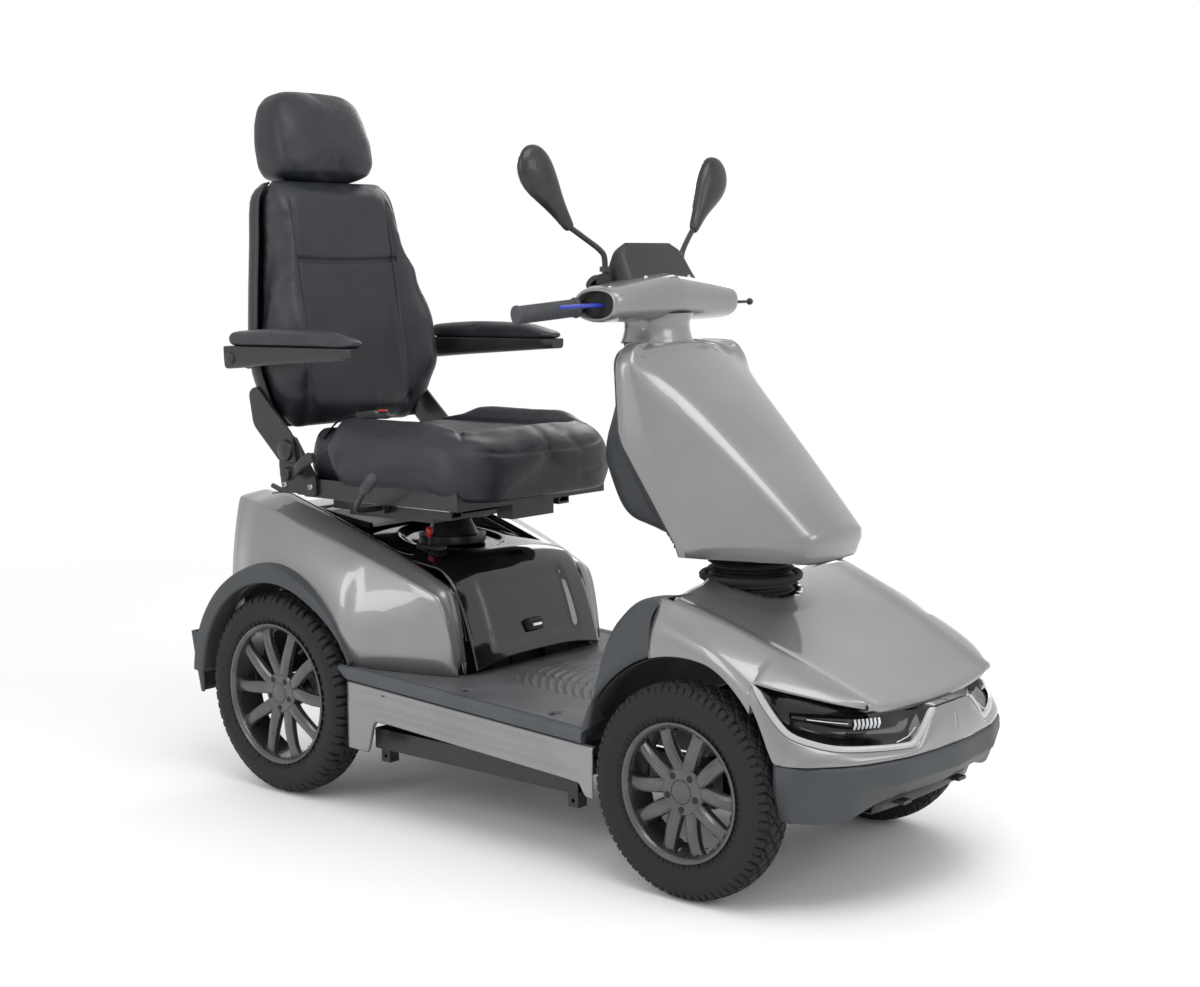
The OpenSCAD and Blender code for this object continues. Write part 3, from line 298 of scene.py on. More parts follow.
def clamp(t, a=0.0, b=1.0):
    return max(a, min(b, t))


def smooth(t):
    t = clamp(t)
    return t * t * (3 - 2 * t)


def spow(v, p):
    """abs(v) ** p with the sign of v."""
    return copysign(abs(v) ** p, v)


def angles(n, count=None):
    """The first count of n equal steps round a circle."""
    return [2 * pi * k / n for k in range(count or n)]


def mat_z(y):
    """Height of the floor mat's upper face."""
    return FLOOR + SLOPE * y


def piece(name, verts, faces, mat, body, rep=(), slot=None, sub=0, bevel=0.0, solid=0.0, sharp=38):
    """One mesh piece, in wheelbase coordinates, riding on a body."""
    me = bpy.data.meshes.new(name)
    me.from_pydata([(v[0], v[1] + SH, v[2]) for v in verts], [], faces)
    bm = bmesh.new()
    bm.from_mesh(me)
    bmesh.ops.remove_doubles(bm, verts=bm.verts, dist=1e-6)
    bmesh.ops.dissolve_degenerate(bm, edges=bm.edges, dist=1e-7)
    bmesh.ops.recalc_face_normals(bm, faces=bm.faces)
    bm.to_mesh(me)
    bm.free()
    me.materials.append(mat)
    for p in me.polygons:
        p.use_smooth = True
    me.set_sharp_from_angle(angle=radians(sharp))
    ob = bpy.data.objects.new(name, me)
    bpy.context.scene.collection.objects.link(ob)
    if solid:
        m = ob.modifiers.new("wall", "SOLIDIFY")
        m.thickness = solid
        m.offset = -1
        m.use_even_offset = False
    if bevel:
        m = ob.modifiers.new("edge", "BEVEL")
        m.width = bevel
        m.segments = 2
        m.limit_method = "ANGLE"
        m.angle_limit = radians(sharp)
        m.harden_normals = True
    if sub:
        m = ob.modifiers.new("smooth", "SUBSURF")
        m.levels = sub
        m.render_levels = sub
    if body:
        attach(ob, body)
    if rep:
        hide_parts(*([rep] if isinstance(rep, str) else rep))
    slot or SLOT_OF[mat.name]
    return ob


def grid(rows, close_u=False, close_v=False, cap0=False, cap1=False):
    """Faces through a stack of rows with the same number of points."""
    nu, nv = len(rows), len(rows[0])
    verts = [tuple(p) for r in rows for p in r]
    faces = []
    for i in range(nu if close_u else nu - 1):
        for j in range(nv if close_v else nv - 1):
            a, b = i * nv + j, i * nv + (j + 1) % nv
            k = (i + 1) % nu
            faces.append((a, b, k * nv + (j + 1) % nv, k * nv + j))
    if cap0:
        faces.append(tuple(range(nv)))
    if cap1:
        faces.append(tuple((nu - 1) * nv + j for j in range(nv)))
    return verts, faces


def join(*parts):
    verts, faces = [], []
    for v, f in parts:
        n = len(verts)
        verts += list(v)
        faces += [tuple(k + n for k in q) for q in f]
    return verts, faces


def flip_x(vf):
    return [(-v[0], v[1], v[2]) for v in vf[0]], [tuple(reversed(f)) for f in vf[1]]


def fillet(pts, rad, k=4):
    """A polyline with its inner corners rounded; the number of points stays the same for every row."""
    pts = [Vector(p) for p in pts]
    n = len(pts)
    out = [pts[0]]
    for i in range(1, n - 1):
        r = rad if isinstance(rad, (int, float)) else rad[i]
        a, b = pts[i - 1] - pts[i], pts[i + 1] - pts[i]
        la, lb = max(a.length, 1e-6), max(b.length, 1e-6)
        s = pts[i] + a * min(r / la, 0.48)
        e = pts[i] + b * min(r / lb, 0.48)
        for j in range(k + 1):
            t = j / k
            out.append(s * (1 - t) ** 2 + pts[i] * 2 * t * (1 - t) + e * t * t)
    out.append(pts[-1])
    return out


def ring(c, ax, u, ru, rv, n=24, power=2.0, start=0.0):
    """Superellipse of n points round c, in the plane of u and ax x u."""
    c, ax, u = Vector(c), Vector(ax).normalized(), Vector(u)
    u = (u - ax * u.dot(ax)).normalized()
    v = ax.cross(u)
    out = []
    for i in range(n):
        a = start + 2 * pi * i / n
        ca, sa = cos(a), sin(a)
        x = spow(ca, (2 / power)) * ru
        y = spow(sa, (2 / power)) * rv
        out.append(c + u * x + v * y)
    return out


def smooth_path(pts, steps=6):
    """Catmull-Rom curve through the points."""
    pts = [Vector(p) for p in pts]
    out = []
    for i in range(len(pts) - 1):
        p0 = pts[max(i - 1, 0)]
        p1, p2 = pts[i], pts[i + 1]
        p3 = pts[min(i + 2, len(pts) - 1)]
        for j in range(steps):
            t = j / steps
            out.append(0.5 * ((2 * p1) + (p2 - p0) * t + (2 * p0 - 5 * p1 + 4 * p2 - p3) * t * t
                              + (3 * p1 - p0 - 3 * p2 + p3) * t ** 3))
    out.append(pts[-1])
    return out


def tube(path, r, n=12, flat=1.0, up=(0, 0, 1)):
    """Swept round or oval bar; r is a number or a function of 0..1."""
    path = [Vector(p) for p in path]
    rows = []
    last = Vector(up)
    m = len(path)
    for i, p in enumerate(path):
        d = (path[min(i + 1, m - 1)] - path[max(i - 1, 0)]).normalized()
        u = last - d * last.dot(d)
        if u.length < 1e-5:
            u = d.orthogonal()
        u.normalize()
        last = u
        q = r(i / (m - 1)) if callable(r) else r
        rows.append(ring(p, d, u, q * flat, q, n))
    return grid(rows, close_v=True, cap0=True, cap1=True)


# outline of a bar with chamfered edges, in fractions of its half width and half height
BAR = ((-1, -0.6), (-0.75, -1), (0.75, -1), (1, -0.6), (1, 0.6), (0.75, 1), (-0.75, 1), (-1, 0.6))


def strip(path, w, h, up=(0, 0, 1)):
    """Swept rounded rectangle, w across and h along up."""
    path = [Vector(p) for p in path]
    rows = []
    m = len(path)
    last = Vector(up)
    for i, p in enumerate(path):
        d = (path[min(i + 1, m - 1)] - path[max(i - 1, 0)]).normalized()
        u = (last - d * last.dot(d)).normalized()
        v = d.cross(u)
        rows.append([p + u * h / 2 * b + v * w / 2 * a for a, b in BAR])
    return grid(rows, close_v=True, cap0=True, cap1=True)


def turned(profile, c, ax, n=48, u=None):
    """Solid of revolution; profile is a list of (radius, distance along ax)."""
    c, ax = Vector(c), Vector(ax).normalized()
    u = Vector(u) if u else ax.orthogonal()
    rows = []
    for r, h in profile:
        rows.append(ring(c + ax * h, ax, u, max(r, 1e-5), max(r, 1e-5), n))
    return grid(rows, close_v=True)


def box(lo, hi):
    x0, y0, z0 = lo
    x1, y1, z1 = hi
    v = [(x0, y0, z0), (x1, y0, z0), (x1, y1, z0), (x0, y1, z0), (x0, y0, z1), (x1, y0, z1), (x1, y1, z1),
        (x0, y1, z1)]
    f = [(0, 3, 2, 1), (4, 5, 6, 7), (0, 1, 5, 4), (1, 2, 6, 5), (2, 3, 7, 6), (3, 0, 4, 7)]
    return v, f


def bolt(c, ax, r=0.006, h=0.005):
    """Hexagon-socket button head."""
    c, ax = Vector(c), Vector(ax).normalized()
    u = ax.orthogonal().normalized()
    rows = [ring(c, ax, u, r, r, 24), ring(c + ax * h * 0.5, ax, u, r, r, 24),
        ring(c + ax * h, ax, u, r * 0.72, r * 0.72, 24), ring(c + ax * h, ax, u, r * 0.5, r * 0.5, 24),
        ring(c + ax * h * 0.4, ax, u, r * 0.45, r * 0.45, 24)]
    return grid(rows, close_v=True, cap1=True)


def plate(a, b):
    """Closed plate between two outlines with the same number of points."""
    k = len(a)
    sides = [(i, (i + 1) % k, k + (i + 1) % k, k + i) for i in range(k)]
    return list(a) + list(b), [tuple(range(k)), tuple(reversed(range(k, 2 * k)))] + sides


def pierced(vf, hole):
    """A skin without the faces whose middle lies in a hole."""
    v, f = vf
    keep = []
    for q in f:
        if not hole(sum(v[k][0] for k in q) / 4, sum(v[k][1] for k in q) / 4):
            keep.append(q)
    return v, keep


def ride_cad(node, mat, bevel=0.0012, sharp=32):
    """A hard CAD solid shown as it is, with rounded edges and its own finish."""
    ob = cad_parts[node]
    ob.data.materials.clear()
    ob.data.materials.append(mat)
    for p in ob.data.polygons:
        p.use_smooth = True
    w = ob.modifiers.new("weld", "WELD")
    w.merge_threshold = 0.00002
    m = ob.modifiers.new("edge", "BEVEL")
    m.width = bevel
    m.segments = 2
    m.limit_method = "ANGLE"
    m.angle_limit = radians(sharp)
    m.use_clamp_overlap = True
    s = ob.modifiers.new("shade", "WEIGHTED_NORMAL")
    s.keep_sharp = True
    return ob


def both(fn):
    """Calls fn for the rider's right (-1) and left (+1)."""
    for s in (-1, 1):
        fn(s, "r" if s < 0 else "l")


def sided(vf, s):
    """Geometry drawn for the -X side, mirrored when s is +1."""
    return vf if s < 0 else flip_x(vf)


# ---------------------------------------------------------------- hard CAD parts shown with a finish
for n, m in (("frame", STEELB), ("transaxle", CAST), ("motor", STEELB), ("batteries", CASE),
        ("half_shaft_r", STEEL), ("half_shaft_l", STEEL), ("knuckle_r", STEELB), ("knuckle_l", STEELB),
        ("tie_rod", STEELB), ("steering_shaft", STEEL), ("tiller_tube", STEELB), ("handlebar", STEELB),
        ("seat_swivel", STEELB), ("seat_frame", STEELB), ("seat_post", STEELB), ("charge_socket", BLACKP)):
    ride_cad(n, m)


# ---------------------------------------------------------------- wheels
# radius of the rims where the tyres sit
RIM_FRONT, RIM_REAR = 0.12, 0.144


def tyre(node, body, front):
    """Treaded tyre, turned as one dense skin with the grooves pressed in."""
    lo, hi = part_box(node)
    c = (lo + hi) / 2
    ro, half = (hi.z - lo.z) / 2, (hi.x - lo.x) / 2
    ri = (RIM_FRONT if front else RIM_REAR) - 0.0035
    prof = smooth_path([(a, b, 0) for a, b in ((-half * 0.72, ri - 0.004), (-half * 0.8, ri + 0.006),
        (-half * 0.94, ri + 0.018), (-half, lerp(ri, ro, 0.52)), (-half * 0.965, ro - 0.021),
        (-half * 0.84, ro - 0.0085), (-half * 0.55, ro - 0.0022), (0, ro), (half * 0.55, ro - 0.0022),
        (half * 0.84, ro - 0.0085), (half * 0.965, ro - 0.021), (half, lerp(ri, ro, 0.52)),
        (half * 0.94, ri + 0.018), (half * 0.8, ri + 0.006), (half * 0.72, ri - 0.004))], 6)
    n = 620
    x = np.array([p.x for p in prof])
    r = np.array([p.y for p in prof])
    th = np.arange(n) * 2 * np.pi / n
    X, T = np.meshgrid(x, th)
    R = np.broadcast_to(r, X.shape).copy()
    s = T * ro
    ax = np.abs(X)
    tread = ax < half * 0.93

    def groove(d, w):
        return np.clip(1 - (np.abs(d) / w) ** 4, 0, 1)

    def wrap(v, p):
        return (v + p / 2) % p - p / 2

    if front:
        p = 2 * np.pi * ro / 36
        g = np.maximum(groove(wrap(s + X * 1.25, p), 0.0026), groove(wrap(s - X * 1.25, p), 0.0026))
        g *= ax < half * 0.72
        edge = groove(wrap(s + p / 2, p / 2), 0.0024) * (ax > half * 0.62)
        g = np.maximum(g, edge)
        g = np.maximum(g, groove(ax - half * 0.66 - 0.002 * np.sin(s / p * 2 * np.pi), 0.0016))
        depth = 0.006
    else:
        p = 2 * np.pi * ro / 30
        g = groove(wrap(s + 0.006 * np.sin(ax / half * 3.0), p), 0.0036) * (ax > half * 0.3)
        g = np.maximum(g, groove(wrap(s + p / 2, p), 0.0022) * (ax > half * 0.52))
        g = np.maximum(g, groove(ax - half * (0.22 + 0.05 * np.sin(s / p * 2 * np.pi)), 0.0024))
        g = np.maximum(g, groove(wrap(s + X * 0.5, p / 2), 0.0012) * (ax < half * 0.2))
        depth = 0.0075
    R -= depth * g * tread * np.clip((half * 0.95 - ax) / (half * 0.04), 0, 1)
    # two raised rings on each side wall
    for q, hgt in ((0.22, 0.001), (0.78, 0.0008)):
        rr = lerp(ri, ro, q)
        X = X + np.sign(X) * hgt * groove(R - rr, 0.0022) * (ax > half * 0.8)
    X = np.clip(X, -half, half)
    m = len(prof)
    V = np.stack([c.x + X, c.y + R * np.cos(T), c.z + R * np.sin(T)], -1).reshape(-1, 3)
    i, j = np.meshgrid(np.arange(n), np.arange(m - 1), indexing="ij")
    a = i * m + j
    b = ((i + 1) % n) * m + j
    F = np.stack([a, a + 1, b + 1, b], -1).reshape(-1, 4)
    me = bpy.data.meshes.new(node + "_treaded")
    me.from_pydata(V.tolist(), [], F.tolist())
    me.polygons.foreach_set("use_smooth", [True] * len(me.polygons))
    me.set_sharp_from_angle(angle=radians(50))
    me.materials.append(TYRE)
    ob = bpy.data.objects.new(node + "_treaded", me)
    bpy.context.scene.collection.objects.link(ob)
    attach(ob, body)
    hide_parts(node)


def wheel(node, body, front, s):
    """Alloy wheel with five pairs of spokes; drawn with its outer face towards -X."""
    lo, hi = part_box("tyre" + node[3:])
    c = (lo + hi) / 2
    cx, cy, cz = (c.x if s < 0 else -c.x), c.y - SH, c.z
    h = (hi.x - lo.x) / 2
    ro = (RIM_FRONT if front else RIM_REAR) - 0.001
    face = -h + 0.02

    def at(r, a, x):
        return (cx + x, cy + r * cos(a), cz + r * sin(a))

    parts = []
    barrel = [(ro - 0.0085, -h + 0.0075), (ro - 0.004, -h + 0.0035), (ro, -h + 0.0045), (ro, -h + 0.0075),
        (ro - 0.006, -h + 0.01), (ro - 0.0075, -h + 0.016), (ro - 0.0075, h - 0.016), (ro - 0.004, h - 0.01),
        (ro, h - 0.006), (ro - 0.004, h - 0.0045), (ro - 0.01, h - 0.009), (ro - 0.012, h - 0.016),
        (ro - 0.0105, -h + 0.026), (ro - 0.011, -h + 0.02), (ro - 0.0105, -h + 0.012)]
    rows = []
    n = 120
    for i in range(n):
        a = 2 * pi * i / n
        rows.append([at(r, a, x) for r, x in barrel])
    parts.append(grid(rows, close_u=True, close_v=True))
    # spokes: each pair leaves the hub together and spreads towards the rim
    for i in range(5):
        base = 2 * pi * i / 5 + pi / 2
        for k in (-1, 1):
            rows = []
            steps = 16
            for t in range(steps + 1):
                u = t / steps
                r = lerp(0.03, ro - 0.006, u)
                spread = lerp(0.2, 0.335, u ** 0.9) if front else lerp(0.19, 0.32, u ** 0.9)
                a = base + k * (spread + 0.05 * sin(u * pi))
                wdt = lerp(0.015, 0.0128, u) + (0.006 * max(0, u - 0.84) / 0.16)
                top = face - 0.006 * sin(pi * clamp(u * 0.9 + 0.05)) - (0.004 if front else 0.003) * u
                deep = lerp(0.017, 0.013, u)
                ea = Vector((0, -sin(a), cos(a)))
                cen = Vector(at(r, a, 0))
                sec = []
                for q, hgt in ((-1.0, 0.78), (-0.86, 0.3), (-0.55, 0.06), (0, 0.0), (0.55, 0.06), (0.86, 0.3),
                        (1.0, 0.78), (0.9, 1.0), (-0.9, 1.0)):
                    sec.append(tuple(cen + ea * (q * wdt) + Vector((top + deep * hgt, 0, 0))))
                rows.append(sec)
            parts.append(grid(rows, close_v=True, cap0=True, cap1=True))
        # web that closes the pair near the hub into a U
        rows = []
        for t in range(7):
            u = t / 6
            r = lerp(0.026, 0.052 if front else 0.06, u)
            sec = []
            for q in range(7):
                a = base + lerp(-0.3, 0.3, q / 6)
                rr = r + (0.006 * (abs(q - 3) / 3) ** 2) * u
                sec.append(at(rr, a, face + 0.003 + 0.0035 * u))
            rows.append(sec)
        back = [[(p[0] + 0.009, p[1], p[2]) for p in row] for row in rows]
        parts += [grid(rows), grid(back)]
        edge = [row[0] for row in rows] + rows[-1][1:-1] + [row[-1] for row in reversed(rows)]
        parts.append(grid([edge, [(p[0] + 0.009, p[1], p[2]) for p in edge]]))
    # hub disc with five recessed bolt holes
    hub = [(0.02, face - 0.004), (0.0206, face - 0.003), (0.0212, face - 0.0042), (0.038, face - 0.0042),
        (0.0425, face), (0.043, face + 0.01), (0.034, face + 0.016)]
    parts.append(turned([(0.0001, face - 0.004)] + hub + [(0.028, h * 0.25), (0.0001, h * 0.25)],
        (cx, cy, cz), (1, 0, 0), 60))
    piece(node + "_spoked", *sided(join(*parts), s), ALLOY, body, rep=node, sharp=34)
    # bolts in their holes, in the near-black that adds painted shade; plain centre cap and valve
    parts = []
    for i in range(5):
        a = 2 * pi * (i + 0.5) / 5 + pi / 2
        p = at(0.0305, a, face - 0.0043)
        parts.append(turned([(0.0062, 0.0006), (0.0062, -0.0004), (0.0001, -0.0004)], p, (1, 0, 0), 20))
    piece(node + "_bolts", *sided(join(*parts), s), BLACK_AND_PAINTED_SHADE, body, slot="black_steel")
    piece(node + "_cap", *sided(turned([(0.0001, -0.0054), (0.016, -0.0052), (0.019, -0.0045),
        (0.0196, -0.002), (0.0196, 0.002)], (cx + face, cy, cz), (1, 0, 0), 48), s), ALLOY, body)
    a = pi / 2 + pi / 5
    p0, p1 = at(ro - 0.012, a, face + 0.012), at(ro - 0.034, a, face - 0.004)
    piece(node + "_valve", *sided(tube([p0, Vector(p0).lerp(Vector(p1), 0.6), p1],
        lambda t: 0.0042 if t < 0.7 else 0.0036, 14), s), SOFT, body)


def wheels(s, side):
    word = "right" if s < 0 else "left"
    tyre("tyre_front_" + side, "wheel_front_" + word, True)
    tyre("tyre_rear_" + side, "wheel_rear_" + word, False)
    wheel("rim_front_" + side, "wheel_front_" + word, True, s)
    wheel("rim_rear_" + side, "wheel_rear_" + word, False, s)


both(wheels)


# ---------------------------------------------------------------- rear body
def arch_z(y, yc, zc, r=ARCH):
    return zc + sqrt(max(0.0, r * r - (y - yc) ** 2))


def crease_z(y):
    """Height of the crease along the rear fender's upper edge; crease_x is its place across."""
    return 0.425 + 0.154 * max(0, (y - 0.136) / 0.464) ** 0.85


def crease_x(y):
    return -lerp(0.212, 0.272, clamp((y - 0.104) / 0.49) ** 0.6)


def fender_x(y):
    return -lerp(0.206, 0.308, clamp((y - 0.104) / 0.226) ** 0.85)


def front_drop(y):
    """How far the rear fender's front end falls towards the mat."""
    return ((0.144 - y) / 0.04) ** 2 * 0.136 if y < 0.144 else 0.0


def rear_fender(s, side):
    """Silver fender, its flare, mud flap and liner, and the gloss beads along its inner edge."""
    rows = []
    n = 60
    for i in range(n + 1):
        y = lerp(0.104, 0.68, (i / n) ** 1.3)
        zc = crease_z(y) - front_drop(y)
        zl = min(max(mat_z(y) + 0.001, arch_z(y, RY, RZ)), zc - 0.008)
        xo, xc = fender_x(y), crease_x(y)
        back = smooth((y - 0.6) / 0.08)
        xo = lerp(xo, -0.292, back)
        xc = lerp(xc, -0.262, back)
        zc -= 0.012 * back
        top = zc + 0.013 - 0.004 * back
        hgt = zc - zl
        bulge = 0.01 * sin(pi * clamp((y - 0.12) / 0.5)) * clamp(hgt / 0.1)
        pts = [(-0.184, y, max(zl + 0.001, zc - 0.045)), (-0.184, y, top), (-0.2, y, top + 0.0005),
            (xc + 0.012, y, zc + 0.0035), (xc, y, zc),
            (lerp(xc, xo, 0.42) - bulge * 0.6, y, lerp(zc, zl, 0.24)),
            (lerp(xc, xo, 0.8) - bulge * 0.55, y, lerp(zc, zl, 0.56)), (xo, y, zl)]
        rows.append(fillet(pts, [0, 0.003, 0.008, 0.012, 0.014, 0.05, 0.05, 0], 4))
    piece("rear_fender_" + side, *sided(grid(rows), s), SILVER, "chassis",
        rep="rear_fenders" if s < 0 else (), solid=0.0032, sharp=50)
    # flare: a broad textured band round the tyre, ending in a mud flap
    rows = []
    for i in range(73):
        a = radians(lerp(22, 176, i / 72))
        y, z = RY - ARCH * cos(a), RZ + ARCH * sin(a)
        deg = degrees(a)
        er = (-cos(a), sin(a))
        wide = lerp(0.006, 0.04, smooth((deg - 24) / 70))
        rr = ARCH + wide
        yo, zo = RY + er[0] * rr, RZ + er[1] * rr
        face = -0.3095 - 0.0165 * smooth((deg - 22) / 45)
        pts = [(-0.214, y, z), (-0.292, y, z), (face + 0.004, y, z),
            (face - 0.001, y + er[0] * 0.003, z + er[1] * 0.003),
            (face, lerp(y, yo, 0.86), lerp(z, zo, 0.86)), (-0.306, yo, zo),
            (-0.289, RY + er[0] * (rr + 0.003), RZ + er[1] * (rr + 0.003))]
        rows.append(fillet(pts, [0, 0.01, 0.003, 0.003, 0.006, 0.008, 0], 3))
    piece("rear_flare_" + side, *sided(grid(rows), s), TRIM, "chassis", rep="rear_flares" if s < 0 else (),
        solid=0.003, sharp=45)
    # rear face of the flare down to the mud flap
    rows = []
    for i in range(19):
        t = i / 18
        z = lerp(0.305, 0.176, t)
        y = lerp(0.7815, 0.766, t ** 1.2) - 0.002
        w = lerp(0.326, 0.318, t)
        rows.append(fillet([(-w, y - 0.042 * (1 - t * 0.7), z), (-w, y - 0.002, z), (-w + 0.004, y, z),
            (-0.232, y + 0.002, z), (-0.216, y - 0.006, z)], 0.004, 3))
    piece("mud_flap_" + side, *sided(grid(rows), s), TRIM, "chassis", solid=0.003, sharp=45)
    # liner over the wheel, in the near-black that adds painted shade
    rows = []
    for i in range(49):
        a = radians(lerp(14, 172, i / 48))
        y, z = RY - 0.228 * cos(a), RZ + 0.228 * sin(a)
        rows.append([(-0.19, y, z), (-0.25, y, z), (-0.3, y, z)])
    piece("rear_liner_" + side, *sided(grid(rows), s), BLACK_AND_PAINTED_SHADE, "chassis", solid=0.0025)
    # double gloss bead along the inner edge of the fender
    for off, rad, nm in ((0.0, 0.0055, "outer"), (0.0135, 0.0048, "inner")):
        path = []
        for i in range(50):
            y = lerp(0.112, 0.668, (i / 49) ** 1.25)
            zc = crease_z(y) - front_drop(y)
            path.append((-0.1835 + off, y + off * 0.3, max(mat_z(y) + 0.004, zc + 0.0085 - off * 0.55)))
        piece("fender_bead_%s_%s" % (nm, side), *sided(tube(path, rad, 12), s), GLOSSB, "chassis")


both(rear_fender)


def shroud_z(y):
    """Height of the gloss shroud along the middle: it drops away in front of the seat post."""
    if y < 0.2:
        return 0.494 - 0.2 * ((0.2 - y) / 0.124) ** 2.4
    return lerp(0.494, 0.556, (y - 0.2) / 0.49)


def shroud():
    """Gloss black shell between the rear fenders, with its latch, tray and lever slot."""
    rows = []
    n = 90
    for i in range(n + 1):
        y = lerp(0.078, 0.69, (i / n) ** 1.5)
        row = []
        for j in range(49):
            x = lerp(-0.18, 0.18, j / 48)
            q = abs(x) / 0.18
            z = shroud_z(y) - 0.016 * q ** 3
            # raised centre step, recessed front panel and the hollow round the seat post
            step = smooth((0.128 - abs(x)) / 0.014) * smooth((0.455 - z) / 0.02) * smooth((z - 0.318) / 0.012)
            yy = y + 0.007 * step
            rim = hypot(x, y - POST_Y)
            z -= 0.01 * smooth((0.112 - rim) / 0.02) * smooth((rim - 0.02) / 0.01)
            z -= 0.006 * smooth((0.012 - abs(abs(x) - 0.15)) / 0.012) * smooth((y - 0.25) / 0.05)
            row.append((x, yy, z))
        rows.append(row)

    def hole(cx, cy):
        # round hole for the post and the slot for the freewheel lever
        return hypot(cx, cy - POST_Y) < 0.034 or (-0.119 < cx < -0.1 and 0.245 < cy < 0.295)

    piece("rear_shroud_shell", *pierced(grid(rows), hole), GLOSSB, "chassis", rep="rear_shroud", solid=0.003,
        sharp=60)
    # latch pocket on the front face, with its chrome catch
    z0 = 0.35
    y0 = 0.093
    piece("shroud_latch", *box((-0.02, y0 - 0.006, z0 - 0.012), (0.02, y0 + 0.012, z0 + 0.012)), BLACKP,
        "chassis", bevel=0.003)
    piece("shroud_catch", *box((-0.013, y0 - 0.0085, z0 - 0.003), (0.013, y0 - 0.004, z0 + 0.003)), CHROME,
        "chassis", bevel=0.001)
    # shallow storage tray behind the post
    tray = []
    for i in range(5):
        t = i / 4
        y = lerp(0.44, 0.6, t)
        tray.append([(-0.12, y, shroud_z(y) + 0.002), (-0.12, y, shroud_z(y) + 0.014),
            (-0.112, y, shroud_z(y) + 0.014), (-0.11, y, shroud_z(y) + 0.004), (0.11, y, shroud_z(y) + 0.004),
            (0.112, y, shroud_z(y) + 0.014), (0.12, y, shroud_z(y) + 0.014), (0.12, y, shroud_z(y) + 0.002)])
    piece("rear_tray", *grid(tray), BLACKP, "chassis", bevel=0.001)
    # bezel round the freewheel lever's slot
    zz = shroud_z(0.27) + 0.001
    parts = [box((-0.122, 0.242, zz - 0.006), (-0.1185, 0.298, zz + 0.002)),
        box((-0.1005, 0.242, zz - 0.006), (-0.097, 0.298, zz + 0.002)),
        box((-0.122, 0.238, zz - 0.006), (-0.097, 0.2435, zz + 0.0015)),
        box((-0.122, 0.2965, zz - 0.005), (-0.097, 0.302, zz + 0.003))]
    piece("freewheel_slot_trim", *join(*parts), BLACKP, "chassis", bevel=0.001)


shroud()

piece("freewheel_rod", *join(tube(smooth_path([(-0.1095, 0.275, 0.452), (-0.1095, 0.275, 0.5),
    (-0.1095, 0.275, 0.528)], 4), 0.0034, 14),
    turned([(0.0052, -0.0045), (0.01, -0.0045), (0.0102, 0), (0.01, 0.0045), (0.0052, 0.0045)],
    (-0.1095, 0.275, 0.462), (1, 0, 0), 28)), STEELB, "freewheel", rep="freewheel_lever", sharp=40)
piece("freewheel_knob", *turned([(0.0001, 0.543), (0.0045, 0.542), (0.0072, 0.538), (0.0076, 0.533),
    (0.0062, 0.527), (0.004, 0.5225), (0.0034, 0.521)], (-0.1095, 0.275, 0), (0, 0, 1), 28), RED, "freewheel",
    sharp=40)


def tail():
    """Silver tail panel, rounded into the fenders, and the dark panel under it."""
    line = [(-0.284, 0.656), (-0.2885, 0.6805), (-0.262, 0.6985), (-0.2, 0.724), (-0.11, 0.7445), (0, 0.748),
        (0.11, 0.7445), (0.2, 0.724), (0.262, 0.6985), (0.2885, 0.6805), (0.284, 0.656)]
    path = smooth_path([(a, b, 0) for a, b in line], 5)
    rows = []
    for p in path:
        q = abs(p.x) / 0.29
        top = 0.558 + 0.0145 * smooth((q - 0.4) / 0.3)
        inn = Vector((-p.x * 0.14, -0.05 - 0.035 * smooth((0.75 - q) / 0.3), 0))

        def at(dy, z):
            # leans in with the fenders at the two corners
            k = 1 - 0.095 * clamp((z - 0.36) / 0.19) * smooth((q - 0.7) / 0.25)
            return Vector((p.x * k, p.y + dy, z))

        rows.append(fillet([at(-0.012, 0.29), at(-0.002, 0.3), at(0.0, 0.42), at(-0.006, 0.505),
                            at(-0.02, top), at(-0.02, top - 0.004) + inn, at(-0.02, top - 0.03) + inn * 1.05],
                           [0, 0.006, 0.04, 0.02, 0.012, 0.003, 0], 4))
    piece("tail_shell", *grid(rows), SILVER, "chassis", rep="rear_panel", solid=0.003, sharp=50)
    # dark lower tail panel
    rows = []
    for z, d in ((0.292, -0.004), (0.285, 0.0), (0.19, -0.006), (0.182, -0.012)):
        rows.append([(p.x * 0.93, p.y + d - 0.008, z) for p in path])
    piece("tail_lower", *grid(rows), TRIM, "chassis", solid=0.003)


tail()


def tail_lamp(s, side):
    rows = []
    for t in range(13):
        u = t / 12
        x = lerp(-0.12, -0.205, u)
        y = lerp(0.744, 0.7205, u ** 1.3)
        zt, zb = lerp(0.498, 0.504, u), lerp(0.462, 0.47, u)
        rows.append(fillet([(x, y - 0.004, zb), (x, y + 0.006, zb + 0.003), (x, y + 0.009, (zb + zt) / 2),
            (x, y + 0.004, zt - 0.003), (x, y - 0.008, zt)], 0.004, 3))
    piece("tail_lamp_lens_" + side, *sided(grid(rows, cap0=True, cap1=True), s), REDLENS, "chassis",
        rep="tail_lamps" if s < 0 else (), sharp=50)


both(tail_lamp)


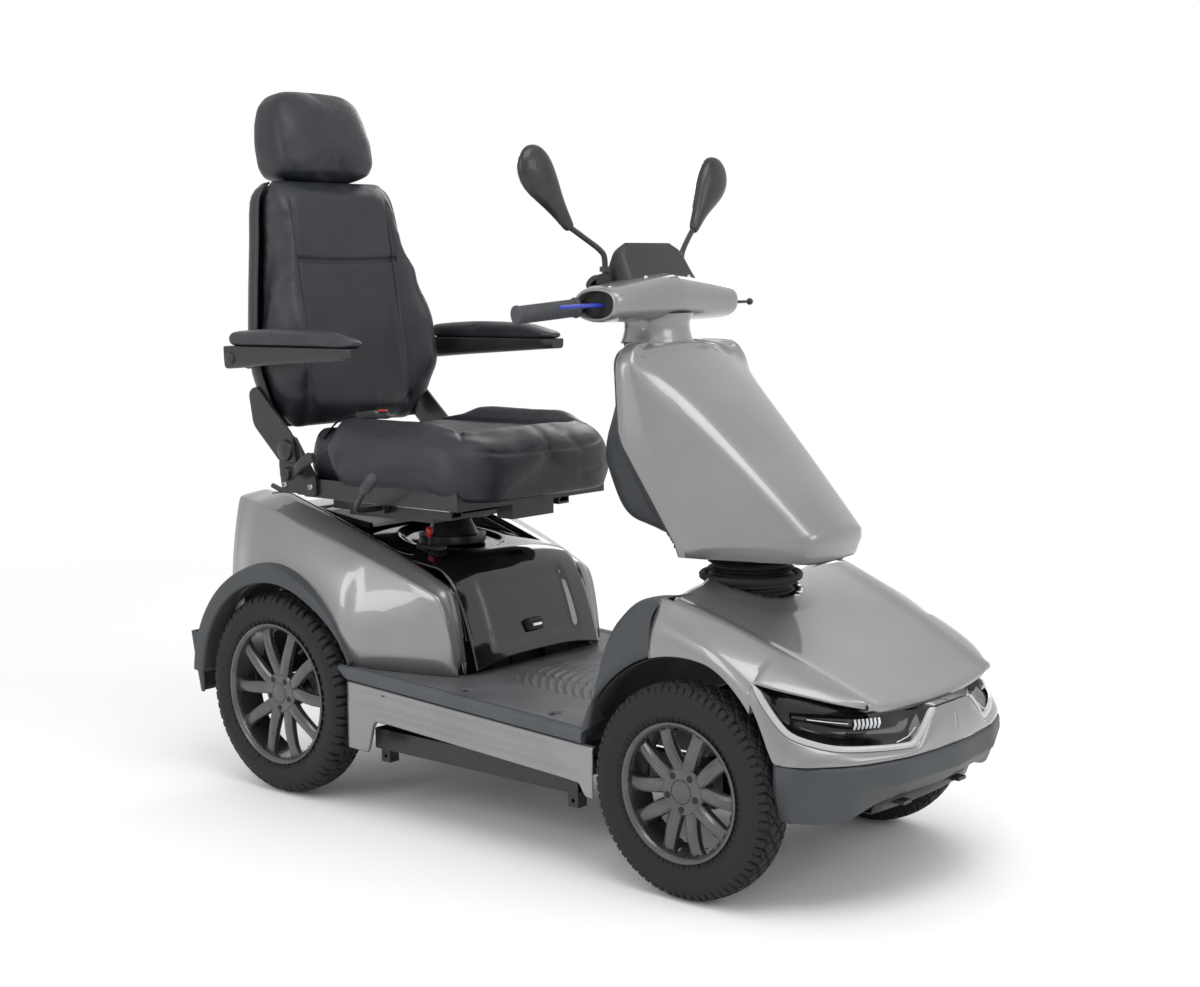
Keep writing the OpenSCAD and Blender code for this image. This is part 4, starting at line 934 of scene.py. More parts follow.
# ---------------------------------------------------------------- platform
def platform():
    """Rubber mat as one height field, and the screws in its corners."""
    nx, ny = 200, 210
    verts, faces = [], []
    for i in range(nx + 1):
        x = lerp(-0.3, 0.3, i / nx)
        q = abs(x)
        end = 0.105 if q < 0.184 else lerp(0.105, 0.3, (q - 0.184) / 0.116)
        for j in range(ny + 1):
            y = lerp(-0.292, end, j / ny)
            z = mat_z(y)
            # fanned ribs, bowed towards the front, in three groups
            fan = (y + 0.55 * q * q / 0.15 + 0.006) / 0.0215
            fr = fan % 1.0
            rib = smooth((fr - 0.02) / 0.1) * smooth((0.5 - fr) / 0.1)
            win = smooth((0.15 - q) / 0.006) * smooth((q - 0.012) / 0.006)
            win *= smooth((y + 0.245) / 0.01) * smooth((0.045 - y) / 0.01)
            gap = smooth((abs(q - 0.078) - 0.006) / 0.004)
            z += 0.0018 * rib * win * gap
            # screw recesses
            for yy in (-0.19, 0.03):
                d = hypot((q - 0.262) / 0.016, (y - yy) / 0.01)
                z -= 0.0035 * smooth((1.15 - d) / 0.3)
            # raised lip along the side and toe-board roll at the front
            z += 0.003 * smooth((q - 0.284) / 0.01)
            z += 0.01 * smooth((-0.262 - y) / 0.03) * smooth((0.29 - q) / 0.02)
            verts.append((x, y, z))
    for i in range(nx):
        for j in range(ny):
            a = i * (ny + 1) + j
            faces.append((a, a + ny + 1, a + ny + 2, a + 1))
    piece("floor_rubber", verts, faces, MAT, "chassis", rep="floor_mat", sharp=60)
    for k in (-1, 1):
        for yy in (-0.19, 0.03):
            z = mat_z(yy) - 0.004
            piece("floor_screw_%s_%s" % ("r" if k < 0 else "l", "f" if yy < 0 else "b"),
                *bolt((k * 0.262, yy, z), (0, 0, 1), 0.0065, 0.0035), STEELB, "chassis")


platform()


def sill(s, side):
    """Rubber edge of the mat, and the silver skirt under it."""
    rows = []
    for i in range(65):
        y = lerp(-0.3, 0.336, i / 64)
        z = mat_z(y)
        h = 0.0235
        if y > 0.31:
            h = lerp(0.0235, 0.004, (y - 0.31) / 0.026)
        rows.append(fillet([(-0.2985, y, z + 0.002), (-0.3045, y, z + 0.0036), (-0.3125, y, z - 0.003),
            (-0.3128, y, z - h + 0.003), (-0.309, y, z - h), (-0.3, y, z - h)],
            [0, 0.004, 0.007, 0.003, 0.003, 0], 4))
    piece("floor_edge_" + side, *sided(grid(rows, cap0=True, cap1=True), s), MATEDGE, "chassis", sharp=50)
    # side skirt with a blade crease and a scooped upper face
    rows = []
    n = 110
    for i in range(n + 1):
        y = lerp(0.306, -0.324, i / n)
        zt = mat_z(y) - 0.025
        # lower edge: rear foot, arch, long sweep, front foot
        foot_b = smooth((y - 0.232) / 0.022)
        foot_f = smooth((-0.288 - y) / 0.022)
        zb = lerp(0.186, 0.158, clamp((0.232 - y) / 0.5))
        zb = lerp(zb, 0.124, foot_b)
        zb = lerp(zb, 0.136, foot_f)
        crease = lerp(zt, lerp(0.186, 0.158, clamp((0.232 - y) / 0.5)), 0.6)
        scoop = 0.0048 * smooth((0.3 - y) / 0.08) * smooth((y + 0.31) / 0.12)
        under = 0.008 * smooth((0.27 - y) / 0.08) * smooth((y + 0.31) / 0.06)
        pts = [(-0.302, y, zt + 0.001), (-0.3105, y, zt - 0.001), (-0.3108, y, zt - 0.008),
            (-0.3108 + scoop, y, lerp(zt, crease, 0.42)), (-0.3108 + scoop, y, lerp(zt, crease, 0.8)),
            (-0.3118, y, crease), (-0.3118 + under, y, lerp(crease, zb, 0.45)),
            (-0.3118 + under * 0.8, y, zb + 0.004), (-0.305 + under, y, zb)]
        rows.append(fillet(pts, [0, 0.003, 0.004, 0.012, 0.01, 0.006, 0.012, 0.003, 0], 3))
    piece("side_skirt_" + side, *sided(grid(rows), s), SILVER, "chassis", rep="side_skirts" if s < 0 else (),
        solid=0.0028, sharp=42)
    # screw plug in the skirt, behind the arch
    c = (-0.3072, 0.205, 0.2475)
    piece("skirt_plug_" + side, *sided(turned([(0.0001, -0.002), (0.0035, -0.0025), (0.0048, -0.003),
        (0.006, -0.002), (0.0062, 0.004)], c, (1, 0, 0), 24), s), BLACKP, "chassis")


both(sill)


# ---------------------------------------------------------------- front body
def hood_z(y):
    """Height of the hood's edge ridge; ridge_x is its place across."""
    return lerp(0.512, 0.356, max(0, (-y - 0.392) / 0.412) ** 1.25)


def ridge_x(y):
    return lerp(0.264, 0.198, clamp((-y - 0.47) / 0.334))


def guard_pt(a, r):
    """Point of the front guard's outline, a degrees up from straight behind the wheel."""
    a = radians(a)
    return FY + r * cos(a) * 0.82, FZ + r * sin(a) * 1.16


def front_guard():
    """Dark rear halves of the front fenders and the shield between them."""
    rows = []
    n = 60
    for i in range(n + 1):
        a = lerp(15.5, 73, i / n)
        y0, z0 = guard_pt(a, 0.268)
        rg = 0.268 + 0.035 * smooth((a - 22) / 30) - 0.02 * smooth((a - 58) / 15)
        y, z = guard_pt(a, rg)
        yl, zl = FY + 0.2285 * cos(radians(a)), FZ + 0.2285 * sin(radians(a))
        ye, ze = guard_pt(a, rg - 0.012)
        half = [(0.0, y0, z0 - 0.006), (0.12, y0, z0 - 0.003), (0.195, y, z - 0.002), (0.262, y, z),
            (0.298, ye, ze - 0.001), (0.3075, lerp(ye, yl, 0.3), lerp(ze, zl, 0.3)),
            (0.308, lerp(ye, yl, 0.86), lerp(ze, zl, 0.86)), (0.303, yl, zl), (0.282, yl + 0.001, zl + 0.001)]
        sec = fillet(half, [0, 0.04, 0.03, 0.022, 0.016, 0.012, 0.004, 0.003, 0], 4)
        rows.append([(-p.x, p.y, p.z) for p in reversed(sec)] + [tuple(p) for p in sec[1:]])
    skin = pierced(grid(rows), lambda cx, cy: hypot(cx, cy - STEER_Y) < 0.083)
    piece("front_guard_shell", *skin, TRIM, "chassis", rep="fender_guards", solid=0.003, sharp=50)


front_guard()


def lip_y(u):
    """Front edge of the hood across its width, u from -1 to 1."""
    return -0.806 - 0.009 * (1 - u * u)


NOSE_PARTS = []
HOOD_ROWS = 60


def hood_edge(i):
    """Point i of the hood's side edge, where the wing carries on."""
    y = lerp(-0.468, -0.806, i / HOOD_ROWS)
    return Vector((-(ridge_x(y) - 0.0005), y, hood_z(y) + 0.0035 * exp(-1.0)))


def hood():
    """Upper face of the nose with its rolled front lip, and the collar of the bellows."""
    rows = []
    n, m = HOOD_ROWS, 56
    for i in range(n + 1):
        t = i / n
        row = []
        for j in range(m + 1):
            u = 2 * j / m - 1
            y = lerp(-0.402 - 0.066 * u * u, lip_y(u), t)
            x = u * (ridge_x(y) - 0.0005)
            z = hood_z(y) - 0.011 * (1 - abs(u) ** 2.2) + 0.0035 * exp(-((abs(u) - 0.94) / 0.06) ** 2)
            # shallow collar round the bellows
            d = hypot(x, y - STEER_Y)
            z += 0.007 * smooth((0.12 - d) / 0.032)
            row.append((x, y, z))
        rows.append(row)
    # rolled front lip
    last = rows[-1]
    for dy, dz in ((-0.0035, -0.003), (-0.0045, -0.008), (-0.002, -0.013), (0.004, -0.015), (0.016, -0.015)):
        rows.append([(p[0] * (1 - max(0, dy) * 0.6), p[1] + dy, p[2] + dz) for p in last])
    NOSE_PARTS.append(pierced(grid(rows), lambda cx, cy: hypot(cx, cy - STEER_Y) < 0.0845))
    # rubber collar where the bellows meets the hood
    piece("hood_collar", *turned([(0.087, 0.47), (0.0925, 0.474), (0.0935, 0.481), (0.09, 0.485),
        (0.085, 0.483), (0.083, 0.474), (0.084, 0.466)], (0, STEER_Y, 0.024), (0, 0, 1), 72), SOFT, "chassis",
        sharp=60)


hood()


def bez(a, b, c, n):
    """Quadratic curve from a to c, pulled towards b."""
    a, b, c = Vector(a), Vector(b), Vector(c)
    return [a * (1 - t) ** 2 + b * (2 * t * (1 - t)) + c * t * t for t in [i / n for i in range(n + 1)]]


def resample(pts, n):
    pts = [Vector(p) for p in pts]
    acc = [0.0]
    for a, b in zip(pts[:-1], pts[1:]):
        acc.append(acc[-1] + (b - a).length)
    out = []
    k = 0
    for i in range(n + 1):
        d = acc[-1] * i / n
        while k < len(acc) - 2 and acc[k + 1] < d:
            k += 1
        t = (d - acc[k]) / max(acc[k + 1] - acc[k], 1e-9)
        out.append(pts[k].lerp(pts[k + 1], clamp(t)))
    return out


def arch_edge(y):
    """Height of the front arch lip; it closes in on the tyre towards the bumper."""
    f = smooth((-y - 0.56) / 0.14)
    r = lerp(0.2285, 0.199, f)
    return FZ + sqrt(max(0.0, r * r - (y - FY) ** 2))


# the lamp begins at this point of the hood's edge; LIP is the hood's edge above it, and the two
# BAND lines are the upper and lower edges of the band that runs under it
K_LAMP = 33
Y_LAMP = lerp(-0.468, -0.806, K_LAMP / HOOD_ROWS)
LIP = [(-0.301, Y_LAMP, 0.388), (-0.288, -0.694, 0.3795), (-0.264, -0.738, 0.3695), (-0.233, -0.776, 0.3575),
    (-0.199, -0.8045, 0.347)]
BAND_TOP = [(-0.301, Y_LAMP, 0.388), (-0.3035, -0.67, 0.363), (-0.299, -0.699, 0.326),
    (-0.2905, -0.722, 0.305), (-0.272, -0.755, 0.2925), (-0.245, -0.786, 0.2845), (-0.19, -0.817, 0.279),
    (-0.129, -0.84, 0.2755), (-0.108, -0.8445, 0.28), (-0.085, -0.847, 0.301), (-0.06, -0.846, 0.324),
    (-0.048, -0.846, 0.329), (0.0, -0.848, 0.33)]
BAND_LOW = [(-0.3078, Y_LAMP, 0.359), (-0.308, -0.674, 0.322), (-0.308, -0.694, 0.278),
    (-0.306, -0.706, 0.2635), (-0.297, -0.745, 0.263), (-0.266, -0.78, 0.263), (-0.22, -0.814, 0.263),
    (-0.15, -0.841, 0.263), (-0.112, -0.849, 0.263), (-0.088, -0.852, 0.263), (-0.062, -0.855, 0.263),
    (-0.048, -0.856, 0.263), (0.0, -0.858, 0.263)]


def weld(v, f, dist):
    """One skin from the nose parts: points closer than dist become one."""
    bm = bmesh.new()
    vs = [bm.verts.new(tuple(p)) for p in v]
    for q in f:
        try:
            bm.faces.new([vs[k] for k in q])
        except ValueError:
            pass
    bmesh.ops.remove_doubles(bm, verts=bm.verts, dist=dist)
    bmesh.ops.recalc_face_normals(bm, faces=bm.faces)
    bm.verts.index_update()
    out = [v_.co.copy() for v_ in bm.verts], [tuple(x.index for x in q.verts) for q in bm.faces]
    bm.free()
    return out


def wing(s, side):
    """Silver side of the nose: over the arch, above the lamp, and round below it to the centre panel."""
    K, M = 16, 12
    up, lowr = [], []
    ys = [-0.448, -0.458] + [hood_edge(i).y for i in range(K_LAMP + 1)]
    n = len(ys) - 1
    for y in ys:
        xr, z, zl = ridge_x(y) - 0.0005, hood_z(y) + 0.0013, arch_edge(y)
        side_x = 0.3078
        mid_x = lerp(xr, side_x, 0.56)
        pts = [(-xr, y, z), (-xr - 0.01, y, z - 0.0016), (-mid_x, y, lerp(z, zl, 0.2)),
            (-lerp(mid_x, side_x, 0.8), y, lerp(z, zl, 0.46)), (-side_x, y, lerp(z, zl, 0.76)),
            (-side_x, y, zl)]
        sec = resample(fillet(pts, [0, 0.008, 0.026, 0.034, 0.03, 0], 5), 40)
        # the point level with the corner of the lamp
        zk = lerp(z, zl, 0.52)
        k = min(range(5, 38), key=lambda q: abs(sec[q].z - zk))
        up.append(resample(sec[:k + 1], K))
        lowr.append(resample(sec[k:], M))
    corner = up[-1][-1].copy()
    lip = smooth_path(LIP, 8)
    for i, p in enumerate(lip):
        lip[i] = p + (corner - lip[0]) * (1 - smooth(i / 10)) if i else corner.copy()
    lip_pts = resample(lip, HOOD_ROWS - K_LAMP)
    for i in range(1, HOOD_ROWS - K_LAMP + 1):
        t = i / (HOOD_ROWS - K_LAMP)
        a = hood_edge(K_LAMP + i)
        b = lip_pts[i]
        c = a.lerp(b, 0.5) + Vector((-0.3, -0.25, 0.85)) * lerp(0.016, 0.003, t)
        up.append(resample(bez(a, c, b, 14), K))
    # the band that runs under the lamp, from the arch round to the centre panel
    top = smooth_path(BAND_TOP, 6)
    low = smooth_path(BAND_LOW, 6)
    top[0] = corner.copy()
    low[0] = lowr[-1][-1].copy()
    m = len(top) - 1
    for i in range(1, m + 1):
        a, b = top[i], low[i]
        t = i / m
        outw = Vector((-1, -0.35, 0)).lerp(Vector((-0.1, -1, 0)), smooth(t * 2.2)).normalized()
        c = a.lerp(b, 0.45) + outw * lerp(0.003, 0.01, smooth(t * 3)) * (1 - 0.3 * smooth(t * 1.4 - 0.4))
        lowr.append(resample(bez(a, c, b, 12), M))
    # arch lip turned in under the wing
    rim = []
    for row in lowr[:n + 1 + 18]:
        e = row[-1]
        rim.append([e, e + Vector((0.001, 0, -0.0015)), e + Vector((0.006, 0, -0.001)),
            e + Vector((0.022, 0.001, 0.001))])
    NOSE_PARTS.append(sided(join(grid(up), grid(lowr), grid(rim)), s))
    # front wheel-arch liner, in the near-black that adds painted shade
    rows = []
    for i in range(41):
        a = radians(lerp(12, 142, i / 40))
        rows.append([(-0.17, FY + ARCH * cos(a), FZ + ARCH * sin(a)),
            (-0.24, FY + ARCH * cos(a), FZ + ARCH * sin(a)), (-0.3, FY + ARCH * cos(a), FZ + ARCH * sin(a))])
    piece("front_liner_" + side, *sided(grid(rows), s), BLACK_AND_PAINTED_SHADE, "chassis", solid=0.002)
    # black lamp housing between the lip and the surround
    hood_lip = [Vector((-lerp(0.199, 0.0, t), -0.8045 - 0.012 * (1 - (1 - t) ** 2), 0.344 - 0.01 * t))
        for t in [q / 9 for q in range(1, 10)]]
    edge = resample([p + Vector((0.003, 0.004, -0.001)) for p in lip] + hood_lip, 56)
    base = resample([p + Vector((0.002, 0.003, 0.001)) for p in top], 56)
    rows = []
    for i in range(57):
        t = i / 56
        deep = 0.034 * smooth(t / 0.16) * (1 - 0.62 * smooth((t - 0.5) / 0.25))
        inw = Vector((0.62, 0.78, 0)).lerp(Vector((0.15, 1, 0)), smooth(t * 1.6)).normalized()
        a, d = edge[i], base[i]
        b = a + inw * deep * 0.75 + Vector((0, 0, -0.006 * smooth(t / 0.2)))
        c = a.lerp(d, 0.72) + inw * deep
        rows.append([tuple(q) for q in resample(fillet([a, b, c, d], [0, 0.01, 0.012, 0], 4), 14)])
    piece("lamp_recess_" + side, *sided(grid(rows), s), LAMPBLACK, "chassis",
        rep="headlamps" if s < 0 else (), solid=0.002, sharp=60)
    # pale surround: a flat strip that follows the band's upper edge, outside down, along and up to the panel
    wide = []
    m = len(top)
    for i in range(m):
        p = top[i]
        d_ = (top[min(i + 1, m - 1)] - top[max(i - 1, 0)]).normalized()
        t = i / (m - 1)
        outw = Vector((-0.9, -0.4, 0.15)).lerp(Vector((-0.15, -0.9, 0.35)), smooth(t * 1.8)).normalized()
        nrm = (outw - d_ * outw.dot(d_)).normalized()
        inn = nrm.cross(d_).normalized()
        if inn.z < 0 and t < 0.7:
            inn = -inn
        if t >= 0.7:
            inn = Vector((-0.6, 0.3, 0.7)).normalized()
        w = 0.009 * smooth(i / 5) * (1 - smooth((t - 0.8) / 0.1))
        wide.append((p, nrm, inn, max(w, 0.0012)))
    rows = []
    for p, nrm, inn, w in wide[:int(m * 0.9)]:
        q = p + nrm * 0.0012
        rows.append([q - nrm * 0.004, q, q + inn * w * 0.5 + nrm * 0.0012, q + inn * w,
            q + inn * (w + 0.0012) - nrm * 0.004])
    piece("lamp_surround_" + side, *sided(grid(rows, close_v=True, cap0=True, cap1=True), s), BEZEL,
        "chassis", sharp=32)
    # lamp unit: dark bar with a run of small lenses at its inner end
    body = []
    for t in [q / 12 for q in range(13)]:
        c0 = Vector((-0.272, -0.716, 0.334)).lerp(Vector((-0.176, -0.801, 0.318)),
            t) + Vector((0.006, 0.01, 0)) * (1 - sin(pi * t))
        h = lerp(0.005, 0.0115, smooth(t / 0.7))
        body.append([c0 + Vector((0.01, 0.012, -h)), c0 + Vector((-0.001, -0.001, -h)),
            c0 + Vector((-0.003, -0.004, -h * 0.4)), c0 + Vector((-0.003, -0.004, h * 0.5)),
            c0 + Vector((0.001, 0.001, h)), c0 + Vector((0.012, 0.014, h))])
    piece("lamp_unit_" + side, *sided(grid(body, close_v=True, cap0=True, cap1=True), s), LAMPBLACK,
        "chassis", sharp=30)
    parts = []
    for i in range(7):
        t = i / 6
        c0 = Vector((-0.2, -0.785, 0.3195)).lerp(Vector((-0.17, -0.811, 0.3215)), t)
        parts.append(tube([c0 + Vector((0.001, 0.002, -0.0078)), c0 + Vector((-0.0012, -0.002, 0)),
            c0 + Vector((0.0008, 0.001, 0.0078))], 0.0021, 10))
    piece("led_block_" + side, *sided(join(*parts), s), LED, "chassis")
    parts = [strip([(-0.262, -0.7345, 0.3325), (-0.236, -0.759, 0.327), (-0.212, -0.78, 0.3225)], 0.0016,
        0.0016), strip([(-0.146, -0.829, 0.2865), (-0.122, -0.836, 0.293), (-0.104, -0.8385, 0.305)], 0.0014,
        0.0014)]
    piece("lamp_lines_" + side, *sided(join(*parts), s), CHROME, "chassis", slot="lamp_lens")


both(wing)
piece("hood_skin", *weld(*join(*NOSE_PARTS), 0.0006), SILVER, "chassis", rep=("hood", "nose_panel"),
    solid=0.003, sharp=42)


def bumper():
    """Dark bumper from arch to arch, and the tray behind it."""
    base = [(-0.306, -0.7), (-0.3035, -0.735), (-0.275, -0.775), (-0.23, -0.812), (-0.145, -0.846),
        (0, -0.8605)]
    pts = []
    for i in range(len(base) - 1):
        for t in range(5):
            pts.append(Vector((lerp(base[i][0], base[i + 1][0], t / 5),
                lerp(base[i][1], base[i + 1][1], t / 5), 0)))
    pts.append(Vector((0, base[-1][1], 0)))
    line = pts + [Vector((-p.x, p.y, 0)) for p in reversed(pts[:-1])]
    rows = []
    for p in line:
        q = abs(p.x) / 0.306
        n = Vector((p.x * 1.1, -1.0 + 0.75 * q * q, 0)).normalized()
        near = smooth((q - 0.45) / 0.4)
        zb = lerp(0.187, 0.162, near)
        zm = lerp(0.222, 0.236, near)
        rows.append(fillet([p - n * 0.022 + Vector((0, 0, 0.262)), p - n * 0.004 + Vector((0, 0, 0.2615)),
            p + Vector((0, 0, 0.255)), p + n * 0.001 + Vector((0, 0, zm)),
            p - n * lerp(0.03, 0.02, near) + Vector((0, 0, zb + 0.006)),
            p - n * lerp(0.038, 0.028, near) + Vector((0, 0, zb)),
            p - n * 0.055 + Vector((0, 0, zb + 0.002))], [0, 0.003, 0.003, 0.003, 0.005, 0.005, 0], 4))
    piece("front_bumper", *grid(rows), TRIM, "chassis", rep="bumper", solid=0.003, sharp=30)
    # black undertray tucked behind the bumper
    rows = []
    for i in range(13):
        x = lerp(-0.155, 0.155, i / 12)
        rows.append([(x, -0.808 + 0.5 * x * x, 0.182), (x, -0.8 + 0.5 * x * x, 0.162), (x, -0.715, 0.16),
            (x, -0.705, 0.172)])
    piece("nose_undertray", *grid(rows), BLACKP, "chassis", solid=0.003)


bumper()


# ---------------------------------------------------------------- tiller
def edge_pt(t):
    """Rim of the cowl, t from 0 at the top to 1 at the lip."""
    if t < 0.46:
        k = t / 0.46
        return Vector((lerp(0.176, 0.182, k) - 0.026 * max(0.0, 1 - t / 0.09) ** 2.2, lerp(-0.279, -0.292, k),
            lerp(0.911, 0.752, k)))
    k = (t - 0.46) / 0.54
    return Vector((lerp(0.182, 0.15, k), lerp(-0.292, -0.392, k), lerp(0.752, 0.566, k)))


def ridge_pt(t):
    """Ridge between the cowl's face and its cheek, t as for edge_pt."""
    return Vector((lerp(0.132, 0.088, t), lerp(-0.292, -0.619, t ** 0.92), lerp(0.898, 0.59, t)))


def cowl():
    """Silver shield in front of the tiller."""
    rows = []
    n = 56

    def half(t):
        # rim corner eased so that the two straight stretches join in a curve
        e = (edge_pt(max(0, t - 0.03)) + edge_pt(min(1, t + 0.03))) / 2 if 0.03 < t < 0.97 else edge_pt(t)
        r = ridge_pt(t)
        m1 = Vector((lerp(e.x, r.x, 0.16) + 0.002, lerp(e.y - 0.008, r.y, 0.15) - 0.01,
            lerp(e.z, r.z, 0.16) + 0.002))
        m2 = Vector((lerp(e.x, r.x, 0.6), lerp(e.y - 0.008, r.y, 0.64) - 0.004, lerp(e.z, r.z, 0.62)))
        return [Vector((e.x - 0.01, e.y + 0.016, e.z)), Vector((e.x, e.y + 0.01, e.z)),
            Vector((e.x + 0.001, e.y - 0.004, e.z)), m1, m2, r,
            Vector((r.x * 0.55, r.y - 0.0075, r.z + 0.009)), Vector((0, r.y - 0.01, r.z + 0.012))]

    def row(pts):
        sec = fillet(pts, [0, 0.004, 0.006, 0.006, 0.05, 0.02, 0.03, 0], 4)
        left = [Vector((-p.x, p.y, p.z)) for p in sec]
        return left + [p for p in reversed(sec[:-1])]

    base = half(0.0)
    neck = Vector((0, -0.232, 0.914))
    for s, dz in ((0.36, 0.004), (0.62, 0.0065), (0.86, 0.006), (0.955, 0.004), (0.985, 0.001)):
        rows.append(row([neck.lerp(p, s) + Vector((0, 0, dz + (p.z < 0.905) * 0.01 * (1 - s)))
            for p in base]))
    for i in range(n + 1):
        rows.append(row(half(i / n)))
    # lip: a chamfer, a deep band and a turned-under edge
    end = half(1.0)
    mid_ = Vector((0, -0.46, 0))
    for s, dz in ((1.0, -0.003), (0.996, -0.006), (0.968, -0.02), (0.95, -0.03), (0.935, -0.034),
            (0.88, -0.034)):
        pts = []
        for p in end:
            q = Vector((p.x, p.y, 0))
            q = mid_.lerp(q, s)
            zz = lerp(p.z, min(p.z, 0.58), 1.0) + dz
            pts.append(Vector((q.x, q.y, max(0.546, zz))))
        rows.append(row(pts))
    piece("tiller_cowl_shell", *grid(rows), SILVER, "tiller", rep="tiller_cowl", solid=0.0028, sharp=58)
    # floor of the cowl, dark
    pts = [(-0.14, -0.39), (-0.082, -0.6), (0, -0.612), (0.082, -0.6), (0.14, -0.39), (0.1, -0.34),
        (-0.1, -0.34)]
    # the floor plate is near-black: painted shade under the cowl
    piece("cowl_floor", *plate([(a, b, 0.554) for a, b in pts], [(a, b, 0.56) for a, b in pts]), BLACK_AND_PAINTED_SHADE,
        "tiller")


cowl()


def rear_shell():
    """Dark shell that closes the tiller from behind, with the charging inlet's collar."""
    prof = smooth_path([(-0.262, 0.909, 0), (-0.244, 0.86, 0), (-0.222, 0.79, 0), (-0.198, 0.722, 0),
        (-0.2, 0.69, 0), (-0.232, 0.615, 0), (-0.3, 0.59, 0), (-0.372, 0.57, 0)], 7)
    rows = []
    for p in prof:
        y, z = p.x, p.y
        e = None
        best = 9
        for k in range(60):
            q = edge_pt(k / 59)
            if abs(q.z - z) < best:
                best, e = abs(q.z - z), q
        w = e.x - 0.006
        row = []
        deep = y - (e.y + 0.012)
        for j in range(33):
            u = 2 * j / 32 - 1
            k = abs(u)
            fall = 1 - smooth((k - 0.66) / 0.24)
            yy = e.y + 0.014 + deep * (0.16 * (1 - k ** 4) + 0.84 * fall)
            row.append((u * w, yy, z))
        rows.append(row)
    piece("tiller_rear_shell", *grid(rows), TRIM, "tiller", rep="tiller_back", solid=0.003, sharp=50)
    # the shell's top, which closes the neck from behind
    rows = []
    for z, yc, rx, ry in ((0.915, -0.2275, 0.066, 0.057), (0.908, -0.2285, 0.0665, 0.0565),
            (0.898, -0.233, 0.0655, 0.053), (0.88, -0.241, 0.06, 0.045), (0.86, -0.25, 0.05, 0.035)):
        rows.append(ring((0, yc, z), (0, 0, 1), (1, 0, 0), rx, ry, 56, 2.3))
    piece("tiller_shell_top", *grid(rows, close_v=True, cap1=True), TRIM, "tiller", sharp=60)
    # rubber collar round the charging inlet on the left cheek
    piece("inlet_collar", *join(turned([(0.0138, -0.004), (0.0185, -0.004), (0.0195, 0.0015),
        (0.0165, 0.0036), (0.0138, 0.003)], (0.1405, -0.288, 0.69), (1, 0, 0), 40),
        box((0.1375, -0.298, 0.7085), (0.1435, -0.278, 0.7145))), SOFT, "tiller", bevel=0.0008)


rear_shell()

# bellows between the hood and the tiller, turned with its folds
rows = []
prof = []
folds = 6
for i in range(folds * 10 + 1):
    t = i / (folds * 10)
    w = 0.5 - 0.5 * cos(2 * pi * t * folds)
    r = lerp(0.07, 0.0675, t) + 0.0095 * w ** 1.3
    prof.append((r, lerp(0.47, 0.548, t)))
prof = [(0.062, 0.468)] + prof + [(0.06, 0.55)]
v, f = turned(prof, (0, STEER_Y, 0), (0, 0, 1), 72, (1, 0, 0))
bell = piece("steering_bellows", v, f, SOFT, None, rep="bellows", sharp=70)
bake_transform(bell)

# dark bracket that carries the cowl's nose, seen under its lip
piece("cowl_bracket", *strip(smooth_path([(0.02, -0.44, 0.545), (0.02, -0.5, 0.54), (0.02, -0.56, 0.54),
    (0.02, -0.596, 0.546)], 4), 0.09, 0.016), BLACKP, "tiller", bevel=0.002)


def housing():
    """Silver cover over the handlebar: fuller in the middle, open at both ends."""
    rows = []
    n = 72
    for i in range(n + 1):
        x = lerp(-0.18, 0.18, i / n)
        u = abs(x) / 0.18
        ry = lerp(0.064, 0.052, u ** 1.4)
        rz = lerp(0.043, 0.031, u ** 1.5)
        zc = lerp(0.998, 0.986, u)
        if u > 0.93:
            ry -= 0.004 * ((u - 0.93) / 0.07) ** 2
            rz -= 0.003 * ((u - 0.93) / 0.07) ** 2
        row = []
        for k in range(48):
            a = 2 * pi * k / 48
            ca, sa = cos(a), sin(a)
            yy = spow(ca, 0.86) * ry
            zz = spow(sa, 0.86) * rz
            # brow ridge on the front upper quarter
            if sa > 0 and ca < 0:
                zz += 0.003 * sin(a - pi / 2) ** 2
            row.append((x, -0.23 + yy, zc + zz))
        rows.append(row)
    inner = [(0.18, 0.88), (0.172, 0.84), (0.12, 0.78)]
    first = rows[0]
    lastr = rows[-1]

    def shrink(row, s, x):
        cy = sum(p[1] for p in row) / len(row)
        cz = sum(p[2] for p in row) / len(row)
        return [(x, cy + (p[1] - cy) * s, cz + (p[2] - cz) * s) for p in row]

    full = [shrink(first, s, -x) for x, s in reversed(inner)] + rows + [shrink(lastr, s, x) for x, s in inner]
    piece("bar_cover", *grid(full, close_v=True), SILVER, "tiller", rep="bar_housing", sharp=62)
    # near-black discs closing the open ends: painted shade inside the cover
    piece("bar_cover_inside", *join(grid([shrink(first, 0.8, -0.168), shrink(first, 0.01, -0.166)],
        close_v=True), grid([shrink(lastr, 0.8, 0.168), shrink(lastr, 0.01, 0.166)], close_v=True)), BLACK_AND_PAINTED_SHADE,
        "tiller")
    # flared neck
    prof = [(0.07, 0.9135), (0.0695, 0.918), (0.0665, 0.924), (0.063, 0.938), (0.0625, 0.95), (0.068, 0.962),
        (0.072, 0.968)]
    rows = []
    for r, z in prof:
        rows.append(ring((0, -0.226, z), (0, 0, 1), (1, 0, 0), r, r * 0.86, 64, 2.3))
    piece("tiller_neck", *grid(rows, close_v=True), SILVER, "tiller", sharp=60)
    piece("neck_seam", *tube([(0.0705 * cos(a), -0.226 + 0.0608 * sin(a), 0.915) for a in angles(64, 65)],
        0.0016, 8), BLACKP, "tiller")


housing()


